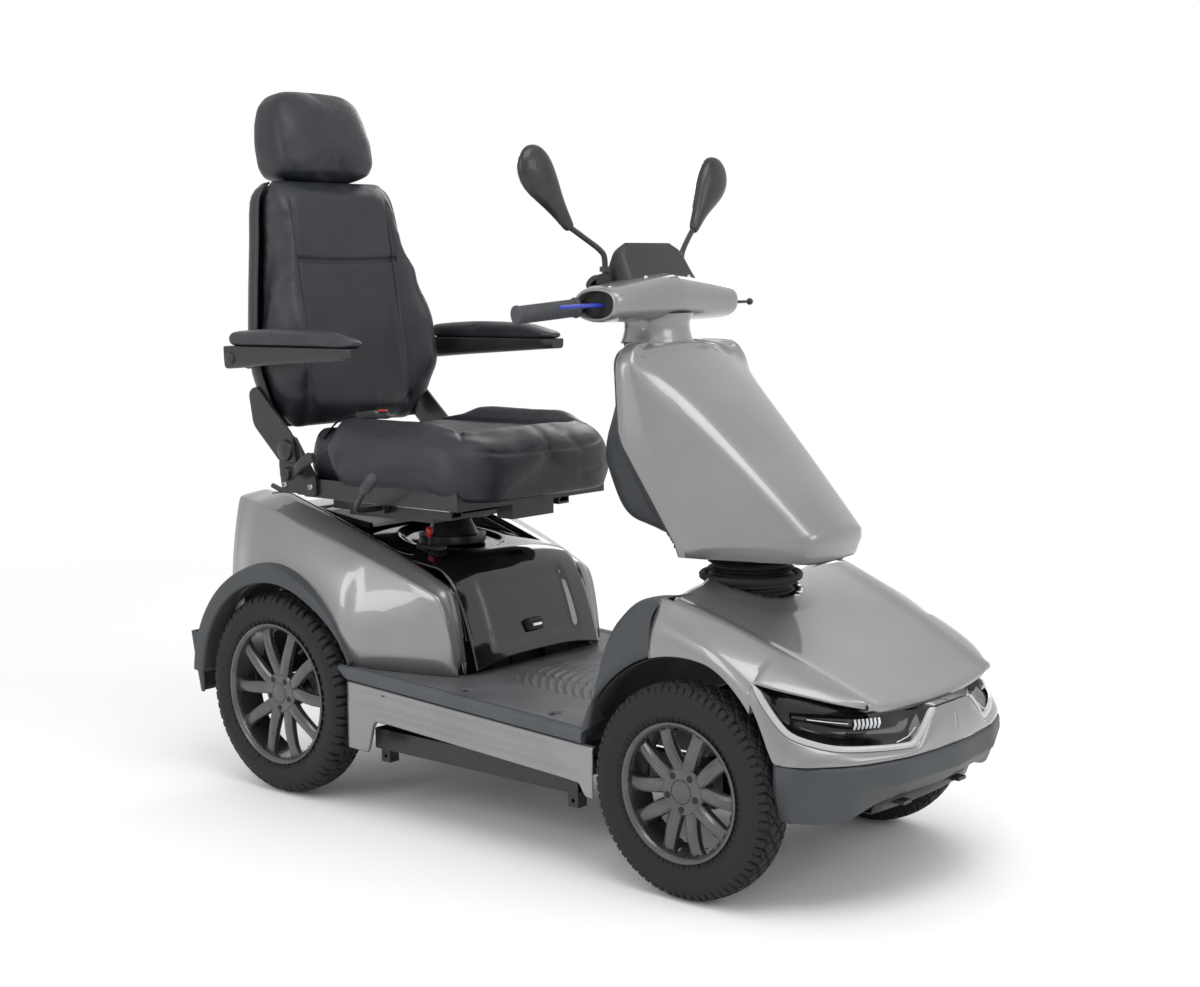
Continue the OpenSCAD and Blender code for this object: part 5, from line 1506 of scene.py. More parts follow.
def console():
    """Black instrument hood, its face turned up to the rider."""
    rows = []
    n = 22
    for i in range(n + 1):
        t = sin(pi / 2 * i / n)
        z = lerp(1.024, 1.094, t)
        w = lerp(0.1, 0.088, t) - 0.024 * max(0.0, (t - 0.66) / 0.34) ** 2.6
        yf = lerp(-0.252, -0.212, t ** 0.8)
        yb = lerp(-0.176, -0.196, t)
        rr = 0.012
        sec = []
        for sx, sy in ((-1, 1), (-1, -1), (1, -1), (1, 1)):
            cxx, cyy = sx * (w - rr), (yf + rr if sy < 0 else yb - rr)
            a0 = {(-1, 1): 90, (-1, -1): 180, (1, -1): 270, (1, 1): 0}[(sx, sy)]
            for k in range(6):
                a = radians(a0 + k * 18)
                sec.append((cxx + rr * cos(a), cyy + rr * sin(a), z))
        rows.append(sec)
    top = rows[-1]
    for s, dz in ((0.985, 0.0012), (0.93, 0.002)):
        cy = sum(p[1] for p in top) / len(top)
        rows.append([(p[0] * s, cy + (p[1] - cy) * s * 0.96, 1.094 + dz * 0.9) for p in top])
    piece("console_hood", *grid(rows, close_v=True, cap1=True), BLACKP, "tiller", rep="console", sharp=50)
    # display set into the rider's side
    fr = [(-0.062, 1.038), (0.062, 1.038), (0.055, 1.086), (-0.055, 1.086)]

    def face_y(z, d):
        return lerp(-0.176, -0.196, (z - 1.024) / 0.07) + d

    rows = [[(a, face_y(b, 0.0006), b) for a, b in fr], [(a, face_y(b, 0.004), b) for a, b in fr],
        [(a * 0.9, face_y(b, 0.004), 1.062 + (b - 1.062) * 0.86) for a, b in fr],
        [(a * 0.88, face_y(b, 0.0012), 1.062 + (b - 1.062) * 0.84) for a, b in fr]]
    piece("display_frame", *grid(rows, close_v=True), BLACKP, "tiller", sharp=30)
    piece("display_screen", [(a * 0.89, face_y(b, 0.0014), 1.062 + (b - 1.062) * 0.85) for a, b in fr],
        [(0, 1, 2, 3)], SCREEN, "tiller")
    # small bright studs along the front foot of the hood
    parts = [turned([(0.0001, 0.0018), (0.0028, 0.0014), (0.0036, 0), (0.0036, -0.003)], (x, -0.2515, 1.0335),
        (0, -1, 0.2), 18) for x in (-0.062, -0.02, 0.022, 0.064)]
    piece("console_studs", *join(*parts), CHROME, "tiller")
    # raised pod that carries the key, dial and horn
    rows = []
    for s, z, d in ((1.0, 1.004, 0), (1.0, 1.014, 0), (0.97, 1.019, 0.001), (0.9, 1.0205, 0.002)):
        rows.append([(0.138 * s * spow(cos(a), 0.5), -0.196 + 0.036 * s * spow(sin(a), 0.5), z)
                     for a in angles(56)])
    piece("control_pod", *grid(rows, close_v=True, cap1=True), BLACKP, "tiller", sharp=50)


console()


def bar_pt(k, u):
    """Point on the handlebar: side k, u from 0 at the cover to 1 at the end."""
    return Vector((k * lerp(0.15, 0.298, u), lerp(-0.196, -0.15, u), lerp(0.984, 0.97, u)))


def hand(s, side):
    """Grip, and the socket of the mirror above it."""
    # ribbed grip with end flange
    p0, p1 = bar_pt(-1, 0.19), bar_pt(-1, 1.01)
    ax = (p1 - p0).normalized()
    L = (p1 - p0).length
    prof = [(0.0112, 0), (0.0175, 0.0005), (0.0185, 0.003), (0.0185, 0.006), (0.0158, 0.009)]
    h = 0.01
    while h < L - 0.012:
        prof += [(0.0148, h), (0.016, h + 0.0012), (0.016, h + 0.0034), (0.0148, h + 0.0046)]
        h += 0.0056
    prof += [(0.0158, L - 0.008), (0.0172, L - 0.006), (0.0176, L - 0.003), (0.0165, L), (0.01, L + 0.0008),
        (0.0001, L + 0.0008)]
    piece("grip_" + side, *sided(turned(prof, p0, ax, 44), s), GRIP, "tiller", rep="grips" if s < 0 else (),
        sharp=60)
    # mirror socket on the cover
    piece("mirror_socket_" + side, *sided(turned([(0.016, 0.0), (0.0155, 0.01), (0.0135, 0.016),
        (0.01, 0.018), (0.0065, 0.0185)], (-0.112, -0.196, 1.022), (0, 0, 1), 32), s), SOFT, "tiller")


both(hand)


def mirror(s, side):
    body = "mirror_right" if s < 0 else "mirror_left"
    # stalk: lock nut, straight foot, then the bend out to the head
    path = smooth_path([(-0.112, -0.196, 1.03), (-0.112, -0.196, 1.066), (-0.12, -0.193, 1.082),
        (-0.15, -0.182, 1.104), (-0.186, -0.17, 1.128)], 6)
    nut = turned([(0.0062, 0.0), (0.0105, 0.0), (0.0105, 0.008), (0.009, 0.0095), (0.0062, 0.0095)],
        (-0.112, -0.196, 1.044), (0, 0, 1), 6)
    piece("mirror_stalk_" + side, *sided(join(tube(path, 0.0052, 16), nut), s), STEELB, body,
        rep="mirror_" + side, slot="black_plastic", sharp=40)
    # tear-drop head: rings along its length, deeper at the back (-Y)
    spine = [(-0.176, -0.171, 1.118, 0.01, 0.01), (-0.19, -0.168, 1.136, 0.013, 0.013),
        (-0.205, -0.165, 1.156, 0.018, 0.015), (-0.222, -0.163, 1.178, 0.027, 0.018),
        (-0.238, -0.161, 1.198, 0.036, 0.021), (-0.252, -0.16, 1.216, 0.041, 0.022),
        (-0.264, -0.159, 1.232, 0.04, 0.02), (-0.273, -0.159, 1.245, 0.032, 0.016),
        (-0.279, -0.159, 1.2535, 0.018, 0.01), (-0.2815, -0.159, 1.257, 0.004, 0.003)]
    acr = Vector((0.77, 0.0, 0.64)).normalized()
    rows = []
    for x, y, z, w, d in spine:
        c = Vector((x, y, z))
        row = []
        for k in range(36):
            a = 2 * pi * k / 36
            ca, sa = cos(a), sin(a)
            dd = d * (1.0 if sa < 0 else 0.34)
            row.append(c + acr * (w * spow(ca, 0.9)) + Vector((0, dd * spow(sa, 0.8), 0)))
        rows.append(row)
    piece("mirror_head_" + side, *sided(grid(rows, close_v=True, cap0=True, cap1=True), s), STEELB, body,
        slot="black_plastic", sharp=62, sub=1)
    rows = []
    for x, y, z, w, d in spine[2:9]:
        c = Vector((x, y + d * 0.34 + 0.0006, z))
        rows.append([c + acr * (w * 0.86 * q) for q in (-1, -0.5, 0, 0.5, 1)])
    piece("mirror_glass_" + side, *sided(grid(rows), s), GLASS, body, solid=0.0012)


both(mirror)


def levers():
    """Drive and brake levers, key, speed dial and horn button."""
    # drive lever, blue, curving out in front of the right grip
    path = smooth_path([(-0.13, -0.238, 0.9845), (-0.15, -0.238, 0.985), (-0.19, -0.23, 0.985),
        (-0.225, -0.219, 0.984), (-0.252, -0.21, 0.983)], 6)
    piece("drive_lever", *join(tube(path, lambda t: lerp(0.0078, 0.0052, t) if t < 0.97 else 0.0036, 16,
        0.62), turned([(0.0042, 0.979), (0.0098, 0.979), (0.01, 0.984), (0.0098, 0.99), (0.0042, 0.99)],
        (-0.132, -0.238, 0), (0, 0, 1), 32)), BLUE, "throttle", rep="throttle_lever", sharp=50)
    path = smooth_path([(0.13, -0.238, 0.9845), (0.15, -0.243, 0.9845), (0.19, -0.2535, 0.9845),
        (0.215, -0.26, 0.9845), (0.232, -0.264, 0.9845)], 6)
    piece("brake_handle", *join(tube(path, lambda t: lerp(0.0065, 0.0038, t), 14, 0.7),
        turned([(0.0001, -0.0068), (0.0035, -0.0058), (0.006, -0.0032), (0.0068, 0), (0.006, 0.0032),
        (0.0035, 0.0058), (0.0001, 0.0068)], (0.236, -0.265, 0.9845), (0, 0, 1), 24),
        turned([(0.0042, 0.979), (0.0098, 0.979), (0.01, 0.984), (0.0098, 0.99), (0.0042, 0.99)],
        (0.132, -0.238, 0), (0, 0, 1), 32)), STEELB, "brake", rep="brake_lever", slot="black_plastic",
        sharp=50)
    # key, dial and horn button on the pod
    n = Vector((0, 0.766044, 0.642788))
    c = Vector((0.1, -0.17, 1.016))
    u = Vector((1, 0, 0))
    w = n.cross(u)
    bow = []
    for k in range(28):
        a = 2 * pi * k / 28
        bow.append(c + n * (0.027 + 0.0105 * cos(a)) + w * (0.0085 * sin(a)))
    disc = plate([tuple(p + u * 0.0014) for p in bow], [tuple(p - u * 0.0014) for p in bow])
    stem = tube([c + n * 0.007, c + n * 0.019], 0.0042, 14)
    piece("key_body", *join(disc, stem), STEEL, "ignition_key", rep="key", sharp=40, bevel=0.0004)
    c = Vector((-0.1, -0.17, 1.016))
    lo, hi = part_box("speed_dial")
    rows = []
    for r, h, kn in ((0.0155, 0.0075, 0), (0.0165, 0.009, 1), (0.016, 0.016, 1), (0.0145, 0.0185, 1),
            (0.0125, 0.0192, 0), (0.0001, 0.0192, 0)):
        row = []
        for k in range(72):
            a = 2 * pi * k / 72
            rr = r * (1 - 0.05 * kn * (0.5 + 0.5 * cos(a * 18)))
            row.append(c + n * h + u * (rr * cos(a)) + w * (rr * sin(a)))
        rows.append(row)
    mark = strip([c + n * 0.0196 + w * 0.002, c + n * 0.0196 + w * 0.0115], 0.0018, 0.0006, tuple(n))
    piece("speed_knob", *grid(rows, close_v=True), BLACKP, "dial", rep="speed_dial", sharp=50)
    piece("speed_mark", *mark, BEZEL, "dial")
    lo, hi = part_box("horn_button")
    cx, cz = (lo.x + hi.x) / 2, (lo.z + hi.z) / 2
    r = (hi.x - lo.x) / 2
    piece("horn_cap", *turned([(r, 0.0), (r, (hi.y - lo.y) * 0.72), (r * 0.86, (hi.y - lo.y) * 0.94),
        (r * 0.5, (hi.y - lo.y) * 0.985), (0.0001, hi.y - lo.y)], (cx, lo.y - SH, cz), (0, 1, 0), 32), RED,
        "horn", rep="horn_button")


levers()


# ---------------------------------------------------------------- seat
LEAN = radians(7)
PIV = Vector((0, 0.566, 0.69))


def lean(p):
    """From the backrest's own upright coordinates to the reclined place."""
    x, y, z = p
    return Vector((x, PIV.y + y * cos(LEAN) + z * sin(LEAN), PIV.z - y * sin(LEAN) + z * cos(LEAN)))


def closed_form(sections, n, power):
    """Rows of superellipses given as (z, x half, y front, y back)."""
    rows = []
    for z, w, y0, y1 in sections:
        rows.append(ring((0, (y0 + y1) / 2, z), (0, 0, 1), (1, 0, 0), w, (y1 - y0) / 2, n, power))
    return grid(rows, close_v=True, cap0=True, cap1=True)


def read(ob, what="co"):
    """Vertex coordinates or normals as an array."""
    a = np.zeros(len(ob.data.vertices) * 3)
    ob.data.vertices.foreach_get(what, a)
    return a.reshape(-1, 3)


def swell(name, vf, mat, body, rep, cap, hold=None, voxel=0.006, pressure=4.0, after=None, place=None,
          ease=9):
    """A stuffed pad: remeshed, blown up as cloth, then sewn.

    cap is the furthest that a point may move, hold(p) is 1 where it may and 0 where it rests, after(points)
    is an offset along the normals, and place(p) moves the finished pad to its place.
    """
    stiff = 15
    me = bpy.data.meshes.new(name)
    me.from_pydata([tuple(p) for p in vf[0]], [], vf[1])
    bm = bmesh.new()
    bm.from_mesh(me)
    bmesh.ops.recalc_face_normals(bm, faces=bm.faces)
    bm.to_mesh(me)
    bm.free()
    ob = bpy.data.objects.new(name, me)
    bpy.context.scene.collection.objects.link(ob)
    r = ob.modifiers.new("remesh", "REMESH")
    r.mode = "VOXEL"
    r.voxel_size = voxel
    s = ob.modifiers.new("even", "SMOOTH")
    s.factor = 0.5
    s.iterations = 6
    bake(ob)
    start = read(ob)
    c = ob.modifiers.new("cloth", "CLOTH")
    c.settings.quality = 4
    c.settings.mass = 0.35
    c.settings.tension_stiffness = stiff
    c.settings.compression_stiffness = stiff
    c.settings.shear_stiffness = stiff * 0.5
    c.settings.bending_stiffness = 0.6
    c.settings.use_pressure = True
    c.settings.uniform_pressure_force = pressure
    c.settings.effector_weights.gravity = 0.0
    c.collision_settings.use_collision = False
    c.point_cache.frame_start = 1
    c.point_cache.frame_end = 20
    scene = bpy.context.scene
    for f in range(1, 21):
        scene.frame_set(f)
    bake(ob)
    scene.frame_set(1)
    d = read(ob) - start
    L = np.linalg.norm(d, axis=1, keepdims=True)
    d = d * np.minimum(1.0, cap / np.maximum(L, 1e-9))
    if hold:
        d *= np.array([hold(p) for p in start])[:, None]
    ob.data.vertices.foreach_set("co", (start + d).ravel())
    sm = ob.modifiers.new("ease", "SMOOTH")
    sm.factor = 0.5
    sm.iterations = ease
    sub = ob.modifiers.new("fine", "SUBSURF")
    sub.levels = sub.render_levels = 1
    bake(ob)
    if after:
        ob.data.update()
        co = read(ob)
        co = co + read(ob, "normal") * after(co)[:, None]
        ob.data.vertices.foreach_set("co", co.ravel())
    if place:
        co = np.array([tuple(place(p)) for p in read(ob)])
        ob.data.vertices.foreach_set("co", co.ravel())
    for v in ob.data.vertices:
        v.co.y += SH
    for p in ob.data.polygons:
        p.use_smooth = True
    ob.data.update()
    ob.data.materials.clear()
    ob.data.materials.append(mat)
    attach(ob, body)
    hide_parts(rep)
    return ob


def bake(ob):
    """Applies every modifier of ob."""
    deps = bpy.context.evaluated_depsgraph_get()
    deps.update()
    me = bpy.data.meshes.new_from_object(ob.evaluated_get(deps))
    old = ob.data
    ob.modifiers.clear()
    ob.data = me
    bpy.data.meshes.remove(old)


def dist_path(P, path):
    """Distance of every point in P from a polyline."""
    best = np.full(len(P), 9.0)
    path = np.array([tuple(q) for q in path])
    for a, b in zip(path[:-1], path[1:]):
        ab = b - a
        t = np.clip(((P - a) @ ab) / max(float(ab @ ab), 1e-12), 0, 1)
        best = np.minimum(best, np.linalg.norm(P - (a + t[:, None] * ab), axis=1))
    return best


def sew(depth, width, *paths):
    """Seam grooves along the paths, as an offset along the normals."""
    def fn(P):
        out = np.zeros(len(P))
        for p in paths:
            d = dist_path(P, p)
            out -= depth * np.exp(-(d / width) ** 2)
        return out
    return fn


# ---- seat cushion
SW = 0.238


def seat_top(x, y):
    """Height of the cushion's upper face before it is stuffed."""
    q = abs(x) / SW
    front = smooth((0.165 - y) / 0.1)
    bolster = smooth((q - 0.6) / 0.22) * smooth((y - 0.06) / 0.12) * smooth((0.6 - y) / 0.1)
    z = 0.722 + 0.046 * bolster + 0.024 * front * (1 - 0.35 * q * q)
    if y < 0.1:
        z -= 0.034 * ((0.1 - y) / 0.062) ** 2
    return z


def seat_half(y):
    """Half width of the cushion: rounded front corners, narrower between the recliners."""
    y0, y1, rf, rb = 0.034, 0.552, 0.098, 0.04
    w = SW
    if y < y0 + rf:
        k = 1 - (y - y0) / rf
        w -= rf * (1 - sqrt(max(0.0, 1 - k * k)))
    if y > y1 - rb:
        k = (y - y1 + rb) / rb
        w -= rb * (1 - sqrt(max(0.0, 1 - k * k)))
    return w - 0.034 * smooth((y - 0.4) / 0.08)


def seat_cushion():
    """Bolstered cushion, stuffed and sewn."""
    rows = []
    ny, nx = 52, 44
    y0, y1 = 0.034, 0.552
    for i in range(ny + 1):
        y = lerp(y0, y1, 0.5 - 0.5 * cos(pi * (0.04 + 0.92 * i / ny)) / cos(pi * 0.04))
        w = seat_half(y)
        t, b = [], []
        near = min(y - y0, y1 - y)
        end = sqrt(max(0.0, 1 - (1 - min(1.0, near / 0.022)) ** 2)) * 0.86 + 0.14
        for j in range(nx + 1):
            u = 2 * j / nx - 1
            x = w * spow(u, 0.85)
            edge = (1 - abs(u) ** 12) * end
            t.append((x, y, lerp(0.662, seat_top(x, y), edge)))
            b.append((x, y, lerp(0.662, 0.609, edge)))
        rows.append(t + list(reversed(b))[1:-1])
    vf = grid(rows, close_v=True, cap0=True, cap1=True)

    def hold(p):
        return smooth((p[2] - 0.613) / 0.02)

    # seams: along the foot of each bolster, round its outer edge, behind the front roll and round the skirt
    lines = []
    for k in (-1, 1):
        lines.append(smooth_path([(k * 0.15, 0.56, 0.735), (k * 0.148, 0.4, 0.736), (k * 0.148, 0.25, 0.738),
            (k * 0.152, 0.165, 0.742), (k * 0.172, 0.118, 0.744), (k * 0.2, 0.094, 0.734)], 4))
        lines.append(smooth_path([(k * 0.196, 0.55, 0.77), (k * 0.224, 0.4, 0.772), (k * 0.226, 0.25, 0.77),
            (k * 0.222, 0.16, 0.76), (k * 0.204, 0.098, 0.738), (k * 0.176, 0.062, 0.716),
            (k * 0.12, 0.044, 0.706), (0, 0.04, 0.704)], 5))
    lines.append([Vector((x, 0.15 + 0.012 * (x / 0.15) ** 2, 0.744)) for x in np.linspace(-0.152, 0.152, 17)])
    base = sew(0.007, 0.0055, *lines)
    skirt = sew(0.0026, 0.004, [Vector((seat_half(y) * k + 0.004 * k, y, 0.65)) for k in (-1,)
        for y in np.linspace(0.5, 0.04, 30)],
        [Vector((seat_half(y) + 0.004, y, 0.65)) for y in np.linspace(0.5, 0.04, 30)],
        [Vector((x, 0.034, 0.65)) for x in np.linspace(-0.13, 0.13, 9)])

    def after(P):
        out = base(P) + skirt(P)
        # light sitting creases across the middle
        wr = np.array([noise.noise(Vector((p[0] * 9, p[1] * 22, 3.1))) for p in P])
        out += 0.0008 * wr * np.clip((P[:, 2] - 0.7) / 0.03, 0, 1)
        return out

    swell("seat_cushion_stuffed", vf, LEATHER, "seat", "seat_cushion", 0.009, hold, after=after)


seat_cushion()


# ---- backrest
def along(pts, z, ease=clamp):
    """Value at height z on a line of (height, value) points."""
    for (a, b), (c, d) in zip(pts[:-1], pts[1:]):
        if z <= c:
            return lerp(b, d, ease((z - a) / (c - a)))
    return pts[-1][1]


def back_w(z):
    """Half width of the backrest cushion at height z."""
    pts = ((0.035, 0.172), (0.06, 0.19), (0.1, 0.208), (0.17, 0.226), (0.25, 0.224), (0.35, 0.209),
        (0.44, 0.194), (0.5, 0.186), (0.545, 0.176), (0.572, 0.16))
    return along(pts, z)


def back_front(z):
    """Front face of the side bolsters at height z."""
    pts = ((0.035, 0.006), (0.06, -0.004), (0.1, -0.028), (0.17, -0.052), (0.25, -0.052), (0.35, -0.03),
        (0.44, -0.014), (0.5, -0.004), (0.572, 0.008))
    return along(pts, z, smooth)


def backrest():
    """Backrest cushion, its shell with the pocket, the recliner arms and the armrest carriers."""
    rows = []
    nz, nx = 56, 44
    for i in range(nz + 1):
        z = lerp(0.036, 0.572, i / nz)
        w = back_w(z)
        end = 1 - (1 - min(1, min(i, nz - i) / 5)) ** 2 * 0.75
        fr, bk = [], []
        for j in range(nx + 1):
            u = 2 * j / nx - 1
            x = w * spow(u, 0.92)
            q = abs(x)
            bol = smooth((q - 0.132) / 0.04)
            yf = lerp(0.016, back_front(z), bol)
            yf += 0.01 * bol * smooth((q - w + 0.03) / 0.03)
            edge = 1 - abs(u) ** 9
            mid_ = 0.046
            fr.append((x, lerp(mid_, yf, edge * end), z))
            bk.append((x, lerp(mid_, 0.085, edge * end), z))
        rows.append(fr + list(reversed(bk))[1:-1])
    vf = grid(rows, close_v=True, cap0=True, cap1=True)

    def hold(p):
        return smooth((0.08 - p[1]) / 0.02)

    lines = []
    for k in (-1, 1):
        lines.append(smooth_path([(k * 0.134, 0.006, 0.585), (k * 0.135, 0.006, 0.45),
            (k * 0.136, 0.006, 0.3), (k * 0.138, 0.006, 0.15), (k * 0.136, 0.01, 0.04)], 5))
        lines.append(smooth_path([(k * 0.166, 0.006, 0.585), (k * 0.176, -0.006, 0.5),
            (k * 0.186, -0.018, 0.42), (k * 0.196, -0.036, 0.33), (k * 0.205, -0.056, 0.25),
            (k * 0.205, -0.056, 0.17), (k * 0.192, -0.03, 0.1), (k * 0.17, 0.0, 0.045)], 5))
        lines.append(smooth_path([(k * 0.18, 0.052, 0.56), (k * 0.2, 0.05, 0.45), (k * 0.222, 0.048, 0.3),
            (k * 0.235, 0.046, 0.2), (k * 0.215, 0.048, 0.1)], 5))
    lines.append([Vector((x, 0.006, 0.392 - 0.004 * (1 - (x / 0.134) ** 2)))
        for x in np.linspace(-0.134, 0.134, 13)])
    base = sew(0.0068, 0.0052, *lines)

    def after(P):
        out = base(P)
        wr = np.array([noise.noise(Vector((p[0] * 20, 1.7, p[2] * 9))) for p in P])
        return out + 0.001 * wr * np.clip((0.05 - P[:, 1]) / 0.03, 0, 1)

    swell("backrest_cushion_stuffed", vf, LEATHER, "backrest", "backrest_cushion", 0.01, hold, 0.0065,
        after=after, place=lean)
    # moulded back shell, wrapping round behind the cushion
    rows = []
    for i in range(41):
        z = lerp(0.05, 0.56, i / 40)
        w = back_w(z) + 0.006
        if z > 0.52:
            w -= 0.02 * ((z - 0.52) / 0.04) ** 2
        y1 = 0.112 - 0.016 * smooth((z - 0.46) / 0.1)
        rows.append([lean(p) for p in fillet([(-w, 0.05, z), (-w - 0.002, 0.072, z), (-w + 0.012, 0.098, z),
            (-w * 0.55, y1, z), (0, y1 + 0.006, z), (w * 0.55, y1, z), (w - 0.012, 0.098, z),
            (w + 0.002, 0.072, z), (w, 0.05, z)], [0, 0.01, 0.02, 0.05, 0.05, 0.05, 0.02, 0.01, 0], 4)])
    piece("backrest_shell_moulded", *grid(rows), BLACKP, "backrest", rep="backrest_shell", solid=0.0035,
        sharp=50)
    # map pocket, stretched over the shell
    rows = []
    for i in range(21):
        z = lerp(0.12, 0.34, i / 20)
        rows.append([lean((x, 0.12 + 0.01 * cos(pi * x / 0.3) + (0.006 if i > 18 else 0), z))
            for x in np.linspace(-0.145, 0.145, 25)])
    piece("back_pocket", *grid(rows), LEATHER, "backrest", solid=0.002)
    # reclining side arms and the armrest carriers
    for s, side in ((-1, "r"), (1, "l")):
        parts = []
        prof = [(-0.026, -0.026), (0.02, -0.026), (0.096, 0.06), (0.1, 0.13), (0.074, 0.14), (-0.022, 0.03)]
        loop = fillet([(p[0], p[1], 0) for p in prof + [prof[0]]], 0.012, 3)[:-1]
        a = [lean((-0.2295, p.x, p.y)) for p in loop]
        b = [lean((-0.2225, p.x, p.y)) for p in loop]
        parts.append(plate(a, b))
        parts.append(turned([(0.0001, -0.01), (0.012, -0.009), (0.0205, -0.006), (0.0225, 0.0),
            (0.0225, 0.004)], (-0.2295, PIV.y, PIV.z), (1, 0, 0), 36))
        piece("recliner_arm_" + side, *sided(join(*parts), s), STEELB, "backrest", bevel=0.0012, sharp=40)
        # bracket from the shell to the armrest pivot
        py, pz = 0.632, 0.88
        br = []
        for yy, w0 in ((0.69, 0.022), (0.672, 0.026), (0.65, 0.022), (0.632, 0.018)):
            br.append([(-0.236, yy, pz - w0), (-0.228, yy, pz - w0), (-0.228, yy, pz + w0),
                (-0.236, yy, pz + w0)])
        parts = [grid(br, close_v=True, cap0=True, cap1=True),
            tube([(-0.232, py, pz), (-0.252, py, pz)], 0.0125, 24)]
        piece("armrest_carrier_" + side, *sided(join(*parts), s), STEELB, "backrest", bevel=0.0015)


backrest()


# ---- headrest
def headrest():
    """Stuffed headrest on its two posts."""
    secs = [(0.57, 0.098, 0.03, 0.122), (0.578, 0.122, 0.016, 0.134), (0.6, 0.132, 0.008, 0.14),
        (0.65, 0.133, 0.01, 0.142), (0.695, 0.126, 0.02, 0.14), (0.73, 0.116, 0.032, 0.132),
        (0.75, 0.098, 0.046, 0.12), (0.757, 0.076, 0.058, 0.108)]
    vf = closed_form(secs, 64, 4.2)
    lines = []
    for k in (-1, 1):
        lines.append(smooth_path([(k * 0.088, 0.0, 0.575), (k * 0.104, 0.004, 0.61), (k * 0.106, 0.004, 0.66),
            (k * 0.098, 0.016, 0.71), (k * 0.088, 0.05, 0.755), (k * 0.088, 0.1, 0.755), (k * 0.1, 0.15, 0.7),
            (k * 0.106, 0.15, 0.62), (k * 0.094, 0.13, 0.575)], 5))
    base = sew(0.0046, 0.0048, *lines)

    def after(P):
        return base(P) + 0.0007 * np.array([noise.noise(Vector((p[0] * 22, p[1] * 22, p[2] * 22)))
            for p in P])

    swell("headrest_stuffed", vf, LEATHER, "head_rest", "headrest", 0.009, voxel=0.0055, after=after,
        place=lean)
    for s, side in ((-1, "r"), (1, "l")):
        piece("headrest_post_" + side, *tube([lean((s * 0.07, 0.094, 0.47)), lean((s * 0.07, 0.094, 0.6))],
            0.0058, 18), CHROME, "head_rest")
        piece("headrest_collar_" + side,
            *turned([(0.0066, 0), (0.012, 0), (0.0125, 0.005), (0.01, 0.009), (0.0066, 0.0095)],
            lean((s * 0.07, 0.094, 0.568)), lean((0, 0, 1)) - lean((0, 0, 0)), 28), BLACKP, "backrest")


headrest()


# ---- armrests
def armrest(s, side):
    """Padded armrest on its shell, with the cap of its pivot."""
    body = "arm_right" if s < 0 else "arm_left"
    lo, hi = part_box("armrest_" + side)
    xm = -(abs(lo.x) + abs(hi.x)) / 2
    half = (hi.x - lo.x) / 2
    yf, yb = lo.y - SH, hi.y - SH
    L = yb - yf
    # pad: rounded, crowned, lower at its front end
    secs = []
    n = 30
    for i in range(n + 1):
        t = i / n
        y = yf + 0.004 + (L - 0.008) * t
        e = sqrt(max(0.0, 1 - (1 - min(1, t * L / 0.026)) ** 2)) * 0.9 + 0.1
        e2 = sqrt(max(0.0, 1 - (1 - min(1, (1 - t) * L / 0.018)) ** 2)) * 0.85 + 0.15
        e = min(e, e2)
        zt = lerp(0.92, 0.9335, smooth(t / 0.25)) + 0.003 * sin(pi * t)
        w = (half - 0.0015) * (0.62 + 0.38 * e)
        sec = []
        for k in range(28):
            a = 2 * pi * k / 28
            ca, sa = cos(a), sin(a)
            zz = spow(sa, 0.62)
            xx = spow(ca, 0.62)
            zc, hz = (zt + 0.9035) / 2, (zt - 0.9035) / 2
            sec.append((xm + xx * w, y, zc + zz * hz * (0.4 + 0.6 * e)))
        secs.append(sec)
    vf = sided(grid(secs, close_v=True, cap0=True, cap1=True), s)

    def hold(p):
        return smooth((p[2] - 0.906) / 0.008)

    sx = xm if s < 0 else -xm
    line = [Vector((sx + half * 0.97 * cos(a), (yf + yb) / 2 + (L / 2 - 0.006) * spow(sin(a), 0.4), 0.9115))
        for a in angles(60, 61)]
    after = sew(0.0014, 0.0028, line)
    swell("armrest_pad_" + side, vf, ARMSKIN, body, "armrest_" + side, 0.004, hold, 0.004, 3.0, after,
        ease=4)
    # tapered shell under it, deeper at the back
    rows = []
    for i in range(25):
        t = i / 24
        y = yf + 0.002 + (L - 0.002) * t
        e = sqrt(max(0.0, 1 - (1 - min(1, t * L / 0.02)) ** 2)) * 0.8 + 0.2
        zb = lerp(0.8835, 0.866, t / 0.72) if t < 0.72 else lerp(0.866, 0.858, (t - 0.72) / 0.28)
        w = (half - 0.0005) * (0.6 + 0.4 * e)
        rows.append(fillet([(xm - w * 0.86, y, 0.9045), (xm - w, y, 0.9035),
            (xm - w, y, lerp(0.9035, zb, 0.5)), (xm - w * 0.93, y, zb + 0.004), (xm - w * 0.7, y, zb),
            (xm + w * 0.7, y, zb), (xm + w * 0.93, y, zb + 0.004), (xm + w, y, lerp(0.9035, zb, 0.5)),
            (xm + w, y, 0.9035), (xm + w * 0.86, y, 0.9045)],
            [0, 0.002, 0.01, 0.004, 0.006, 0.006, 0.004, 0.01, 0.002, 0], 3))
    piece("armrest_shell_" + side, *sided(grid(rows, close_v=True, cap0=True, cap1=True), s), BLACKP, body,
        sharp=40)
    piece("armrest_cap_" + side, *sided(turned([(0.0001, -0.0045), (0.009, -0.004), (0.0125, -0.002),
        (0.013, 0.001)], (xm - half + 0.0005, 0.632, 0.88), (1, 0, 0), 30), s), BLACKP, body)


both(armrest)


